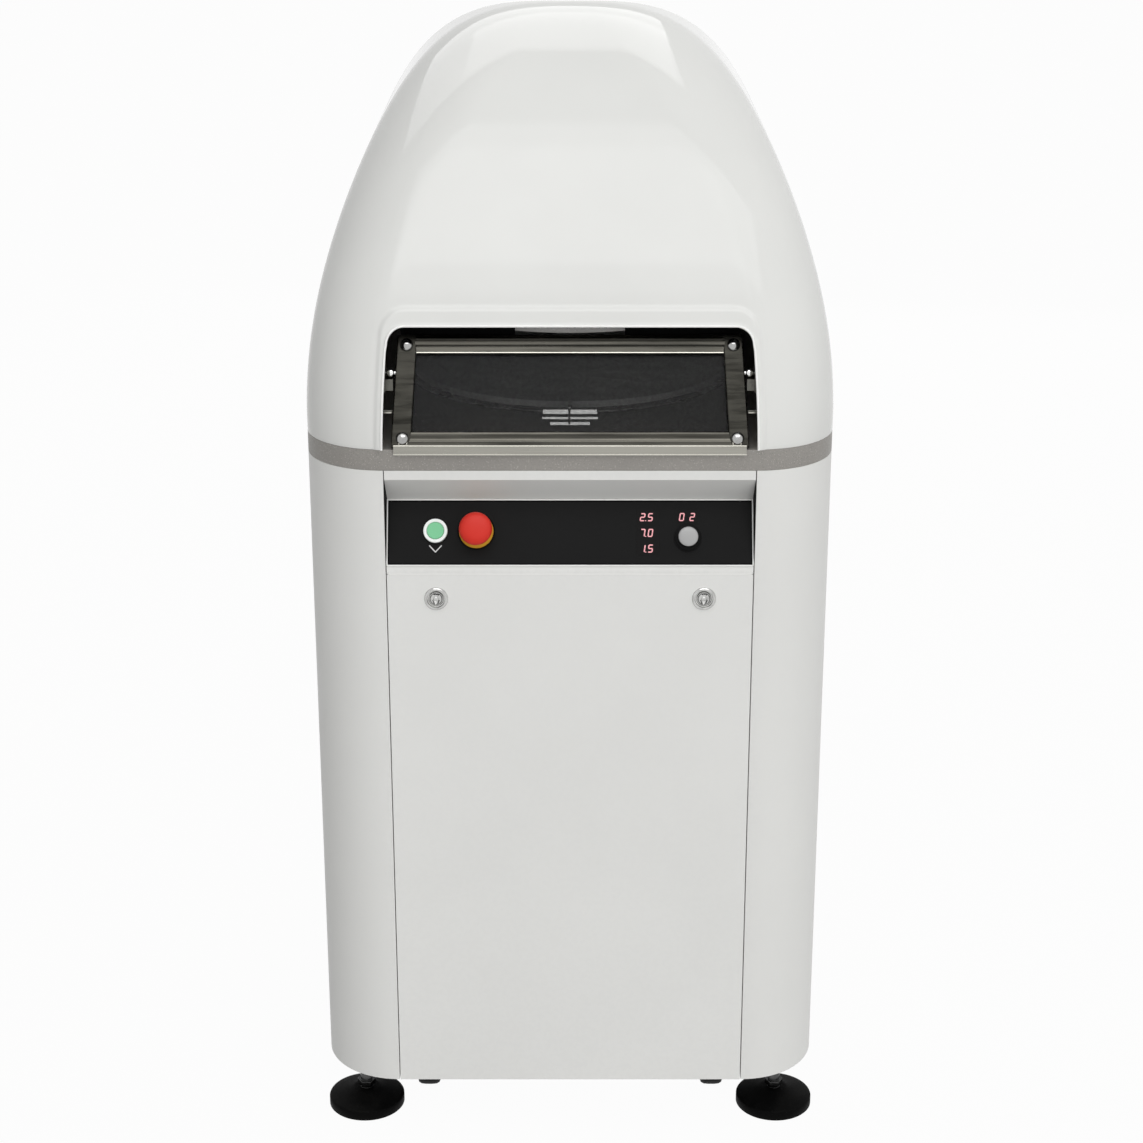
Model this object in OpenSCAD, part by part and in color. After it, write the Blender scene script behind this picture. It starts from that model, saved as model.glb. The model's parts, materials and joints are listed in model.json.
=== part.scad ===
// Dough divider-rounder: a floor-standing bakery machine that presses dough, cuts it and rounds the pieces.
// Millimetres, +Z up, front towards -Y, origin on the floor under the middle of the whole machine.

/* [Cabinet] */
// Width over both side covers
cabinet_w = 640; // [630:5:680]
// Depth from the front plane to the rear panel
cabinet_d = 700; // [690:5:760]
// Radius of the front vertical corners
corner_r = 98; // [90:1:104]
// Radius of the rear vertical corners
rear_r = 40; // [25:1:48]
// Height of the covers' lower edge above the floor
skirt_z = 82; // [80:1:90]
// Height of the covers' upper edge above the floor
cover_top = 913; // [900:1:950]
// Thickness of the cover sheet
sheet_t = 2; // [1.5:0.1:2.5]
// Seam between covers, door and fascia
seam = 1; // [0.6:0.1:1.4]
// Depth of the covers' return flanges
flange_d = 42; // [40:1:43]

/* [Chassis] */
// Thickness of the base plate
base_t = 6; // [5:0.5:8]
// Height of the base plate's underside above the floor
base_z = 108; // [106:1:112]
// Side of the square frame tube
tube = 40; // [34:1:44]
// Wall of the square frame tube
tube_wall = 3; // [2:0.5:4]
// Distance of the posts' centres inside the cabinet's sides
post_inset = 80; // [74:1:84]
// Distance of the front posts' centres from the front plane
post_front = 150; // [148:1:156]
// Distance of the rear posts' centres in front of the rear panel
post_rear_inset = 100; // [92:1:104]

/* [Fascia] */
// Height of the fascia above the door
fascia_h = 130; // [124:1:136]
// Height of the straight strip under the table band
top_strip = 11.4; // [8:0.2:14]
// Depth of the recess behind the front plane
recess_d = 37; // [33:1:38]
// Height of the sloping underside of the recess
ledge_h = 35.6; // [32:0.2:38]
// Height of the straight strip under the control panel
foot_strip = 9; // [7:1:12]
// Margin between the fascia's ends and the control panel's ends
panel_inset = 3; // [2:0.5:10]
// Thickness of the control panel
panel_t = 2; // [1.5:0.5:2.5]
// Distance of the start button from the middle plane
start_x = 162; // [156:1:168]
// Distance of the emergency stop from the middle plane
stop_x = 113; // [106:1:116]
// Distance of the selector knob from the middle plane
knob_x = 142; // [139:1:145]
// Distance of the start button and emergency stop up the panel's slope
button_s = 43; // [40:1:48]
// Distance of the selector knob up the panel's slope
knob_s = 35; // [33:1:37]
// Radius of the start button
start_r = 10.2; // [9:0.1:12]
// Travel of the start button
start_travel = 3; // [2:0.5:3]
// Radius of the emergency stop's head
stop_r = 20; // [18:0.5:22]
// Travel of the emergency stop
stop_travel = 5; // [3:0.5:6]
// Radius of the selector knob
knob_r = 11.5; // [9:0.5:12]

/* [Door] */
// Depth of the door's edge flanges
door_edge = 15; // [12:1:18]
// Distance of the locks from the middle plane
lock_x = 162; // [150:1:170]
// Distance of the locks below the door's top edge
lock_drop = 31; // [29:1:33]
// Radius of the locks' front flange
lock_r = 14.5; // [12:0.5:16]
// Depth of the door hinge axis behind the front plane
door_axis_y = 8; // [8:0.5:9]

/* [Table] */
// Thickness of the cast table band
table_t = 26; // [24:1:30]
// Radius of the moulding plate
plate_r = 205; // [203:1:206]
// Thickness of the moulding plate
plate_t = 8; // [7:0.5:10]
// Radius of the carrier's thin rim
rim_r = 212; // [210:0.5:213]
// Offset of the rounding motion
eccentric = 12; // [10:0.5:13]
// Distance of the machine's vertical axis from the front plane
centre_y = 340; // [338:1:344]
// Radius of the eccentric shaft
shaft_r = 20; // [16:0.5:22]
// Distance of the drive motor from the eccentric shaft
motor_x = 150; // [148:1:158]
// Radius of the drive motor
motor_r = 60; // [55:1:62]

/* [Press head] */
// Outer radius of the press ring
ring_r = 200; // [199:0.5:200]
// Inner radius of the press ring
ring_in = 188; // [187:0.5:190]
// Height of the press ring
ring_h = 90; // [84:1:92]
// Height of the open work chamber between the moulding plate and the press ring
chamber_h = 88; // [80:1:90]
// Gap left under the press ring when the head is down
head_gap = 3; // [3:0.5:6]
// Depth of the dough chamber inside the ring
dough_h = 30; // [26:1:32]
// Travel of the knives
knife_travel = 30; // [24:1:30]
// Thickness of the stamps
stamp_t = 15; // [12:1:16]
// Radius of the inner knife ring
knife_r1 = 67.9; // [66:0.5:70]
// Radius of the outer knife ring
knife_r2 = 127.1; // [125:0.5:129]
// Thickness of the knife blades
blade_t = 2; // [1.5:0.5:2]
// Width of the slots between the stamps
slot_w = 3; // [3:0.5:4]
// Radius of the stamp stems
stem_r = 6; // [5:0.5:7]
// Outer radius of the press cylinder
cylinder_r = 45; // [43:1:48]
// Radius of the press cylinder's bore
piston_r = 35; // [33:1:36]
// Radius of the piston rod
rod_r = 20; // [18:1:22]

/* [Hood] */
// Height of the hood
hood_h = 478; // [470:1:500]
// Wall of the hood
hood_t = 4; // [3:0.5:5]
// Distance of the hood's highest point from the front plane
hood_peak = 360; // [350:5:380]
// Distance of the window opening inside the cabinet's sides at the table band
window_inset = 97; // [95:1:99]
// Narrowing of the window opening on each side towards its top
window_taper = 5; // [3:0.5:8]
// Height of the window opening above the hood's lower edge
window_h = 137; // [134:1:142]
// Radius of the window opening's corners
window_r = 22; // [16:1:26]

/* [Guard] */
// Gap between the window opening and the guard at its foot
guard_gap = 11; // [10:0.5:13]
// Narrowing of the guard on each side towards its top
guard_narrow = 7; // [6:0.5:9]
// Length of the guard up its slope
guard_l = 132; // [128:1:134]
// Thickness of the guard frame
guard_t = 8; // [7:0.5:9]
// Lean of the guard from the vertical
guard_lean = 27.6; // [26:0.1:29]
// Thickness of the guard pane
pane_t = 4; // [3:0.5:5]
// Distance of the guard's pivot up its slope
pivot_s = 90; // [86:1:94]
// Radius of the guard's pivot pins
pin_r = 2.5; // [2:0.25:2.5]

/* [Feet and castors] */
// Radius of the levelling feet
foot_r = 50; // [45:1:52]
// Distance of the levelling feet inside the cabinet's sides
foot_inset = 47; // [44:1:52]
// Distance of the levelling feet from the front plane
foot_y = 80; // [78:1:84]
// Radius of the levelling spindles
spindle_r = 8; // [6:0.5:9]
// Radius of the castor wheels
wheel_r = 40; // [36:0.5:41]
// Width of the castor wheels
wheel_w = 30; // [26:1:32]
// Distance of the front castors inside the cabinet's sides
castor_inset = 129; // [126:1:134]
// Distance of the front wheels' axles from the front plane
castor_y = 131; // [128:1:134]
// Trail of the swivel castors
trail = 28; // [26:1:30]
// Distance of the rear castors inside the cabinet's sides
rear_wheel_inset = 80; // [74:1:90]
// Distance of the rear castors in front of the rear panel
rear_wheel_gap = 100; // [90:1:110]
// Gap between the front wheels and the floor
wheel_lift = 1; // [0.8:0.1:2]

/* [Hidden] */
$fn = 64;
run_fit = 0.05; // radial clearance of running fits
clear = 0.3; // gap between bodies that move past each other
rear_over = 20; // reach of the cable gland behind the rear panel
cover_h = cover_top - skirt_z;
seam_x = cabinet_w / 2 - corner_r;
front_half = seam_x - seam;
base_top = base_z + base_t;
table_top = cover_top + table_t;
post_x = cabinet_w / 2 - post_inset;
post_rear = cabinet_d - post_rear_inset;
panel_w = 2 * (front_half - panel_inset);
window_low = cabinet_w / 2 - window_inset;
window_high = window_low - window_taper;
guard_low = window_low - guard_gap;
guard_high = guard_low - guard_narrow;
foot_x = cabinet_w / 2 - foot_inset;
castor_x = cabinet_w / 2 - castor_inset;
rear_wheel_x = cabinet_w / 2 - rear_wheel_inset;
rear_wheel_y = cabinet_d - rear_wheel_gap;

fascia_z = cover_top - fascia_h;
ledge_top = cover_top - top_strip;
ledge_foot = ledge_top - ledge_h;
panel_foot = fascia_z + foot_strip;
panel_tilt = atan2(recess_d, ledge_foot - panel_foot);
ledge_tilt = atan2(recess_d, ledge_h);
slope_l = norm([recess_d, ledge_foot - panel_foot]);
panel_margin = 2;
lip_d = 22; // depth of the fascia's bottom lip, behind which the cams turn

stop_reach = 34; // height of the emergency stop above the control panel
stop_rim = 24; // height of the head's widest edge above the control panel
stop_base = panel_t + stop_rim;
front_over = stop_base * cos(panel_tilt) - button_s * sin(panel_tilt)
    + norm([(stop_reach - stop_rim) * cos(panel_tilt), stop_r * sin(panel_tilt)]);
y_front = -(cabinet_d + rear_over - front_over) / 2;

door_z = skirt_z;
door_h = fascia_z - seam - door_z;
door_axis_z = door_z + 8;
knuckle_r = 5;
door_pin_r = 3;
lock_z = door_z + door_h - lock_drop;
cam_l = lock_drop + seam + 8;

carrier_z = table_top + 5; // underside of the moulding plate's carrier
rim_t = 2;
carrier_top = carrier_z + 5;
plate_top = carrier_top + plate_t;
table_hole = 80;
support_r = 150; // inner radius of the carrier's support ring
crank_r = 15;
crank_flange_r = 45;
bearing_r = 45;
hub_r = 50;
pulley_h = 25;
pulley_z = cover_top - 83 - pulley_h;
shaft_foot = pulley_z - 5;
pulley_r = 80;
motor_pulley_r = 35;
motor_shaft_r = 12;
housing_z = pulley_z + pulley_h + 4;
motor_plate_z = pulley_z - 20;
motor_plate_t = 8;
motor_h = 190;

ring_z = plate_top + chamber_h;
press_travel = chamber_h - head_gap;
head_top = ring_z + ring_h;
head_t = 15;
head_r = 205;
stamp_z = ring_z + dough_h;
knife_plate_t = 10;
knife_plate_z = stamp_z + stamp_t + knife_travel + 2;
knife_foot = stamp_z + 3;
knife_stem_r = 8;
knife_stem_top = head_top + head_t + 45;
rod_bore_top = knife_stem_top + 12;
rod_foot = head_top + head_t;
cylinder_z = rod_foot + 40;
cylinder_h = 145;
cylinder_cap = 12;
piston_t = 25;
piston_top = cylinder_z + cylinder_h - cylinder_cap - 2;
arm_z = cylinder_z + 50;
arm_h = 40;
column = 50;
column_x = 120;
column_y = cabinet_d - 90;
counts = [4, 10, 16]; // stamps in the inner, middle and outer zone
zone_edges = [0, knife_r1, knife_r2, ring_in - slot_w / 2];

hood_z = table_top + clear;
side_start = 1.716; // the higher, the longer the hood's sides stay upright
side_round = 2.895; // roundness of the hood's sides towards the top
side_swell = 3.6;
front_start = 1.45; // the higher, the longer the hood's front stays upright
rear_start = 5; // the higher, the longer the hood's rear stays upright
dome_round = 1.7; // roundness of the front and rear towards the top
hinge_x = cabinet_w / 2 - 140;
hinge_r = 7;
hinge_pin_r = 3;
hinge_y = cabinet_d + 8;
hinge_z = table_top + 7;
hinge_w = 40;
knuckle_w = 12;
leaf_t = 3;

guard_foot = [-2, table_top + 4.5];
guard_taper = (guard_low - guard_high) / guard_l;
pane_foot = 18;
pane_head = 20;
side_bar = 24;
pane_lap = 6;
pivot = [guard_foot[0] + pivot_s * sin(guard_lean) + guard_t / 2 * cos(guard_lean),
    guard_foot[1] + pivot_s * cos(guard_lean) - guard_t / 2 * sin(guard_lean)];
pivot_half = guard_low - guard_taper * pivot_s;

fork_t = 3;
axle_r = 4;
swivel_r = 8;
fork_top = base_z - clear;
mount_half = [34, 40]; // half sides of the rear castors' mounting plates

tank = [160, 215, 216];
tank_x = 50 - post_x;
tank_y = cabinet_d - 320;
tank_top = base_top + tank[2];
pump_x = tank_x + tank[0] / 2;
pump_y = tank_y + 100;
pump_r = 60;
pump_h = 150;
pump_cap = 30;
pump_foot = 15;
pipe_r = 6;
pipe_x = -60;
pipe_y = tank_y + 192;
gland_x = 140;
gland_z = 160;
gland_r = 8;
gland_bore = 5;

// Places its children in the cabinet's frame: x across, y behind the front plane, z above the floor.
module cab(x = 0, y = 0, z = 0) {
    translate([x, y_front + y, z]) children();
}

// Draws its children on both sides of the middle plane.
module both_sides() {
    for (side = [0, 1]) mirror([side, 0, 0]) children();
}

// Box given by its lowest and highest corners in the cabinet's frame.
module block(low, high) {
    cab(low[0], low[1], low[2]) cube(high - low);
}

// Tube with its foot at the origin.
module tube(r_out, r_in, h) {
    difference() {
        cylinder(r = r_out, h = h);
        translate([0, 0, -1]) cylinder(r = r_in, h = h + 2);
    }
}

// Cylinder along +X from x0 to x1.
module rod_x(r, x0, x1) {
    translate([x0, 0, 0]) rotate([0, 90, 0]) cylinder(r = r, h = x1 - x0);
}

// Cylinder along +Y from y0 to y1.
module rod_y(r, y0, y1) {
    translate([0, y0, 0]) rotate([-90, 0, 0]) cylinder(r = r, h = y1 - y0);
}

// Slab in the plan of the cabinet, its front face on y = 0.
module slab(w, d, rf, rr, h) {
    translate([-w / 2 + rf, 0, 0]) cube([w - 2 * rf, rf, h]);
    translate([-w / 2, rf, 0]) cube([w, d - rf - rr, h]);
    translate([-w / 2 + rr, d - rr, 0]) cube([w - 2 * rr, rr, h]);
    both_sides() {
        translate([w / 2 - rf, rf, 0]) rotate(-90) rotate_extrude(angle = 90) square([rf, h]);
        translate([w / 2 - rr, d - rr, 0]) rotate_extrude(angle = 90) square([rr, h]);
    }
}

// ---- Chassis ----

module base_plate() {
    gap = sheet_t + 0.5;
    notch = seam_x + sheet_t + 2; // half width of the notches for the covers' return flanges
    knuckle_x = front_half - 60;
    knuckle_l = 12;
    color("silver") {
        difference() {
            cab(0, gap, base_z)
                slab(cabinet_w - 2 * gap, cabinet_d - 2 * gap, corner_r - gap, rear_r - gap, base_t);
            block([-notch, -1, base_z - 1], [notch, flange_d + 2, base_top + 1]);
            block([-notch, cabinet_d - flange_d - 2, base_z - 1], [notch, cabinet_d + 1, base_top + 1]);
            both_sides() {
                cab(foot_x, foot_y, base_z - 1) cylinder(r = spindle_r + run_fit, h = base_t + 2);
                cab(castor_x, castor_y + trail, base_z - 1) cylinder(r = swivel_r + run_fit, h = base_t + 2);
            }
        }
        both_sides() cab(foot_x, foot_y, base_z - 10) difference() {
            cylinder(r = 14, h = 10, $fn = 6);
            translate([0, 0, -1]) cylinder(r = spindle_r + run_fit, h = 12);
        }
        // Knuckles that carry the door on short pins
        both_sides() difference() {
            union() {
                cab(knuckle_x, door_axis_y, door_axis_z) rod_x(knuckle_r, 0, knuckle_l);
                block([knuckle_x, door_axis_y, door_axis_z - 3],
                    [knuckle_x + knuckle_l, flange_d + 2, door_axis_z + 3]);
                block([knuckle_x, flange_d - 8, door_axis_z], [knuckle_x + knuckle_l, flange_d + 12, base_z]);
            }
            cab(knuckle_x - 1, door_axis_y, door_axis_z) rod_x(door_pin_r + run_fit, 0, knuckle_l + 2);
        }
    }
}

// Square tube along z between two heights.
module square_tube(x, y, z0, z1) {
    difference() {
        block([x - tube / 2, y - tube / 2, z0], [x + tube / 2, y + tube / 2, z1]);
        block([x - tube / 2 + tube_wall, y - tube / 2 + tube_wall, z0 - 1],
            [x + tube / 2 - tube_wall, y + tube / 2 - tube_wall, z1 + 1]);
    }
}

module chassis_frame() {
    rail_z = cover_top - tube;
    hanger_x = post_x - tube / 2;
    color("gray") {
        both_sides() {
            for (y = [post_front, post_rear]) square_tube(post_x, y, base_top, cover_top);
            difference() {
                block([post_x - tube / 2, post_front + tube / 2, rail_z],
                    [post_x + tube / 2, post_rear - tube / 2, cover_top]);
                block([post_x - tube / 2 + tube_wall, post_front + tube / 2 - 1, rail_z + tube_wall],
                    [post_x + tube / 2 - tube_wall, post_rear - tube / 2 + 1, cover_top - tube_wall]);
            }
        }
        for (y = [post_front, post_rear]) difference() {
            block([-post_x + tube / 2, y - tube / 2, rail_z], [post_x - tube / 2, y + tube / 2, cover_top]);
            block([-post_x + tube / 2 - 1, y - tube / 2 + tube_wall, rail_z + tube_wall],
                [post_x - tube / 2 + 1, y + tube / 2 - tube_wall, cover_top - tube_wall]);
        }
        // Motor plate hung from the right side rail
        difference() {
            union() {
                block([motor_x - motor_r - 10, centre_y - 90, motor_plate_z],
                    [hanger_x + 6, centre_y + 90, motor_plate_z + motor_plate_t]);
                block([hanger_x, centre_y - 90, motor_plate_z], [hanger_x + 6, centre_y + 90, rail_z]);
            }
            cab(motor_x, centre_y, motor_plate_z - 1) cylinder(r = 30, h = motor_plate_t + 2);
        }
    }
}

// ---- Covers ----

module quarter_shell(r) {
    rotate_extrude(angle = 90) translate([r - sheet_t, 0]) square([sheet_t, cover_h]);
}

module side_cover() {
    color("whitesmoke") cab(0, 0, skirt_z) {
        translate([seam_x, corner_r, 0]) rotate(-90) quarter_shell(corner_r);
        translate([cabinet_w / 2 - sheet_t, corner_r, 0])
            cube([sheet_t, cabinet_d - corner_r - rear_r, cover_h]);
        translate([cabinet_w / 2 - rear_r, cabinet_d - rear_r, 0]) quarter_shell(rear_r);
        translate([seam_x, cabinet_d - sheet_t, 0])
            cube([cabinet_w / 2 - rear_r - seam_x, sheet_t, cover_h]);
        translate([seam_x, sheet_t / 2, 0]) cube([sheet_t, flange_d - sheet_t / 2, cover_h]);
        translate([seam_x, cabinet_d - flange_d, 0]) cube([sheet_t, flange_d - sheet_t, cover_h]);
    }
}

module right_side_cover() { side_cover(); }
module left_side_cover() { mirror([1, 0, 0]) side_cover(); }

module rear_panel() {
    slot_l = 130;
    slot_pitch = 26;
    color("whitesmoke") difference() {
        block([-front_half, cabinet_d - sheet_t, skirt_z], [front_half, cabinet_d, cover_top]);
        for (side = [-1, 1], row = [0 : 7]) {
            cab(side * 100 - slot_l / 2, cabinet_d - sheet_t - 1, skirt_z + 480 + row * slot_pitch)
                cube([slot_l, sheet_t + 2, 7]);
        }
        cab(gland_x, 0, gland_z) rod_y(gland_r + run_fit, cabinet_d - sheet_t - 1, cabinet_d + 1);
    }
}

module cable_gland() {
    color("dimgray") cab(gland_x, 0, gland_z) difference() {
        union() {
            rod_y(gland_r, cabinet_d - sheet_t - 14, cabinet_d + 2);
            translate([0, cabinet_d, 0]) rotate([-90, 0, 0]) cylinder(r = 12, h = 8, $fn = 6);
            rod_y(10, cabinet_d + 8, cabinet_d + rear_over);
            translate([0, cabinet_d - sheet_t - 6, 0]) rotate([-90, 0, 0]) cylinder(r = 12, h = 6, $fn = 6);
        }
        rod_y(gland_bore, cabinet_d - sheet_t - 15, cabinet_d + rear_over + 1);
    }
}

// ---- Fascia and controls ----

// Places its children on the control panel's slope: x across, z up the slope, -y outwards.
module on_slope(x, s) {
    cab(x, 0, panel_foot) rotate([-panel_tilt, 0, 0]) translate([0, 0, s]) children();
}

// Round hole or pin square to the slope, from height y0 to y1 along the inward direction.
module slope_rod(x, s, r, y0, y1) {
    on_slope(x, s) rod_y(r, y0, y1);
}

module control_holes(extra) {
    slope_rod(-start_x, button_s, 9 + clear + extra, -panel_t - 1, 12);
    slope_rod(-stop_x, button_s, 8 + clear + extra, -panel_t - 1, 12);
    slope_rod(knob_x, knob_s, 3 + run_fit + extra, -panel_t - 1, 12);
}

module front_fascia() {
    t = sheet_t;
    bend = sin(panel_tilt + ledge_tilt);
    inner_ledge = [recess_d + t * (sin(panel_tilt) + sin(ledge_tilt)) / bend,
        ledge_foot + t * (cos(panel_tilt) - cos(ledge_tilt)) / bend];
    color("whitesmoke") difference() {
        cab(0, 0, 0) rotate([90, 0, 90]) linear_extrude(2 * front_half, center = true) polygon([
            [0, cover_top], [0, ledge_top], [recess_d, ledge_foot], [0, panel_foot], [0, fascia_z],
            [lip_d, fascia_z], [lip_d, fascia_z + t], [t, fascia_z + t],
            [t, panel_foot - t * (1 - cos(panel_tilt)) / sin(panel_tilt)], inner_ledge,
            [t, ledge_top + t * (1 - cos(ledge_tilt)) / sin(ledge_tilt)], [t, cover_top]]);
        control_holes(0.2);
    }
}

module control_panel() {
    color("#1b1b1d") difference() {
        on_slope(-panel_w / 2, panel_margin) translate([0, -panel_t, 0])
            cube([panel_w, panel_t, slope_l - 2 * panel_margin]);
        control_holes(0);
    }
}

module display_lens() {
    lens_t = 0.5;
    color("#2a1212") {
        on_slope(knob_x - 62, 14) translate([0, -panel_t - lens_t, 0]) cube([28, lens_t, 56]);
        on_slope(knob_x - 13, 53) translate([0, -panel_t - lens_t, 0]) cube([26, lens_t, 17]);
    }
}

module start_bezel() {
    color("white") on_slope(-start_x, button_s) translate([0, -panel_t, 0]) rotate([90, 0, 0])
        tube(start_r + 4.3, start_r + clear, 6);
}

module start_button() {
    color("#4fb783") {
        slope_rod(-start_x, button_s, start_r, -panel_t - 6.6, -panel_t - start_travel - 0.3);
        slope_rod(-start_x, button_s, 9, -panel_t - start_travel - 0.5, 10);
    }
}

module stop_collar() {
    color("gold") on_slope(-stop_x, button_s) translate([0, -panel_t, 0]) rotate([90, 0, 0]) difference() {
        cylinder(r1 = 21, r2 = 17, h = 12);
        translate([0, 0, -1]) cylinder(r = 8 + clear, h = 14);
    }
}

module stop_stem() {
    color("dimgray") {
        slope_rod(-stop_x, button_s, 8, -panel_t - 12 - stop_travel - 0.5, 12);
        slope_rod(-stop_x, button_s, 5, -panel_t - stop_rim - 4, -panel_t - 12);
    }
}

module stop_button() {
    foot = 12 + stop_travel + 0.8;
    color("red") on_slope(-stop_x, button_s) translate([0, -panel_t, 0]) rotate([90, 0, 0]) difference() {
        rotate_extrude() polygon(concat(
            [[0, foot], [15, foot], [stop_r - 1.5, foot + 1], [stop_r, stop_rim - 3]],
            [for (a = [0 : 15 : 75]) [stop_r * cos(a), stop_rim + (stop_reach - stop_rim) * sin(a)]],
            [[0, stop_reach]]));
        translate([0, 0, foot - 1]) cylinder(r = 5 + run_fit, h = stop_rim + 4.3 - foot + 1);
    }
}

module selector_knob() {
    color("#202022") {
        slope_rod(knob_x, knob_s, knob_r, -panel_t - 15, -panel_t - 0.8);
        slope_rod(knob_x, knob_s, 3, -panel_t - 1, 14);
    }
}

module knob_cap() {
    color("lightgray") slope_rod(knob_x, knob_s, knob_r - 1.5, -panel_t - 17, -panel_t - 15);
}

module control_box() {
    depth = 68;
    color("lightgray") block([-post_x + 25, post_front - tube / 2 - depth, fascia_z + 17],
        [post_x - 25, post_front - tube / 2, cover_top - 13]);
}

// ---- Door and locks ----

module front_door() {
    edge_z = door_z + door_h;
    color("gainsboro") difference() {
        union() {
            block([-front_half, 0, door_z], [front_half, sheet_t, edge_z]);
            both_sides() block([front_half - sheet_t, sheet_t, door_z],
                [front_half, sheet_t + door_edge, edge_z]);
            block([-front_half + sheet_t, sheet_t, edge_z - sheet_t],
                [front_half - sheet_t, sheet_t + door_edge, edge_z]);
            both_sides() block([front_half - 46, sheet_t, door_axis_z - knuckle_r],
                [front_half - sheet_t, door_axis_y, door_axis_z + knuckle_r]);
            both_sides() cab(front_half - 46, door_axis_y, door_axis_z) rod_x(knuckle_r, 0, 30);
            both_sides() cab(front_half - 62, door_axis_y, door_axis_z) rod_x(door_pin_r, 0, 20);
        }
        both_sides() cab(lock_x, 0, lock_z) rod_y(9.6, -1, sheet_t + 1);
    }
}

module lock_bodies() {
    color("silver") both_sides() cab(lock_x, 0, lock_z) difference() {
        union() {
            rod_y(lock_r, -2.5, 0);
            rod_y(9.5, -1, lip_d - 3);
        }
        rod_y(6 + run_fit, -3, lip_d);
    }
}

// Lock plug with its cam lying sideways, unlocked.
module lock_plug() {
    color("darkgray") cab(lock_x, 0, lock_z) difference() {
        union() {
            rod_y(6, -3.2, lip_d + 1);
            translate([-cam_l, lip_d + 0.6, -6]) cube([cam_l + 6, 3, 12]);
        }
        translate([-0.9, -4, -4]) cube([1.8, 3, 8]);
    }
}

module left_lock_plug() { mirror([1, 0, 0]) lock_plug(); }
module right_lock_plug() { lock_plug(); }

// ---- Table and drive ----

module table_plate() {
    support_w = 16;
    color("#8f8f8f") {
        difference() {
            cab(0, 0, cover_top) slab(cabinet_w, cabinet_d, corner_r, rear_r, table_t);
            cab(0, centre_y, cover_top - 1) cylinder(r = table_hole, h = table_t + 2);
            cab(pipe_x, pipe_y, cover_top - 1) cylinder(r = pipe_r + clear, h = table_t + 2);
        }
        cab(0, centre_y, table_top)
            tube(support_r + support_w, support_r, carrier_z - clear - table_top);
    }
}

module bearing_housing() {
    color("dimgray") cab(0, centre_y, 0) difference() {
        union() {
            translate([0, 0, housing_z]) cylinder(r = bearing_r, h = cover_top - housing_z);
            translate([0, 0, cover_top - 10]) cylinder(r = table_hole + 15, h = 10);
        }
        translate([0, 0, housing_z - 1]) cylinder(r = shaft_r + run_fit, h = cover_top - housing_z + 2);
    }
}

module eccentric_shaft() {
    color("silver") cab(0, centre_y, 0) {
        translate([0, 0, shaft_foot]) cylinder(r = shaft_r, h = cover_top - shaft_foot + 5);
        translate([0, 0, cover_top + clear]) cylinder(r = crank_flange_r, h = 10);
        translate([0, eccentric, cover_top + 5]) cylinder(r = crank_r, h = carrier_z - cover_top - 5);
    }
}

// Pulley with a flange at each end; the belt runs between the flanges.
module pulley(r, bore) {
    difference() {
        union() {
            cylinder(r = r, h = pulley_h);
            cylinder(r = r + 5, h = 2);
            translate([0, 0, pulley_h - 2]) cylinder(r = r + 5, h = 2);
        }
        translate([0, 0, -1]) cylinder(r = bore, h = pulley_h + 2);
    }
}

module driven_pulley() {
    color("darkgray") cab(0, centre_y, pulley_z) pulley(pulley_r, shaft_r);
}

module motor_pulley() {
    color("darkgray") cab(motor_x, centre_y, pulley_z) {
        pulley(motor_pulley_r, motor_shaft_r);
        translate([0, 0, motor_plate_z - pulley_z - 20]) cylinder(r = motor_shaft_r, h = pulley_h + 40);
    }
}

module belt_outline(extra) {
    hull() {
        circle(r = pulley_r + extra, $fn = 96);
        translate([motor_x, 0]) circle(r = motor_pulley_r + extra, $fn = 96);
    }
}

module drive_belt() {
    color("#181818") cab(0, centre_y, pulley_z + 3) linear_extrude(pulley_h - 6) difference() {
        belt_outline(clear + 3);
        belt_outline(clear);
    }
}

module drive_motor() {
    color("steelblue") cab(motor_x, centre_y, motor_plate_z - motor_h) difference() {
        union() {
            cylinder(r = motor_r, h = motor_h - 10);
            translate([0, 0, motor_h - 10]) cylinder(r = motor_r + 8, h = 10);
            for (a = [0 : 30 : 330]) rotate(a) translate([motor_r - 1, -1.5, 15]) cube([7, 3, motor_h - 35]);
        }
        translate([0, 0, motor_h - 25]) cylinder(r = motor_shaft_r + run_fit, h = 26);
    }
}

module rounding_table() {
    pin_y = rim_r - 3;
    color("silver") cab(0, centre_y + eccentric, 0) {
        difference() {
            union() {
                translate([0, 0, carrier_z]) cylinder(r = rim_r, h = rim_t);
                translate([0, 0, carrier_z]) cylinder(r = plate_r - 12, h = carrier_top - carrier_z);
                translate([0, 0, cover_top + 12]) cylinder(r = hub_r, h = carrier_z - cover_top - 11);
            }
            translate([0, 0, cover_top + 11]) cylinder(r = crank_r + run_fit, h = carrier_z - cover_top - 10);
        }
        translate([0, -pin_y, carrier_z]) cylinder(r = 2.5, h = plate_top + head_gap - 0.5 - carrier_z);
    }
}

// Middle radius and angle of each stamp, zone by zone.
stamps = [for (zone = [0 : 2], i = [0 : counts[zone] - 1])
    let (middle = (zone_edges[zone] + zone_edges[zone + 1]) / 2)
    [zone == 0 ? 0.6 * knife_r1 : middle, (i + 0.5) * 360 / counts[zone]]];

module moulding_plate() {
    cup_r = 40;
    cup_depth = 4;
    color("#d8d8d0") cab(0, centre_y + eccentric, carrier_top) difference() {
        cylinder(r = plate_r, h = plate_t);
        for (p = stamps) rotate(p[1]) translate([p[0], 0, plate_t + cup_r - cup_depth]) sphere(r = cup_r);
    }
}

// ---- Press head ----

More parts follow.
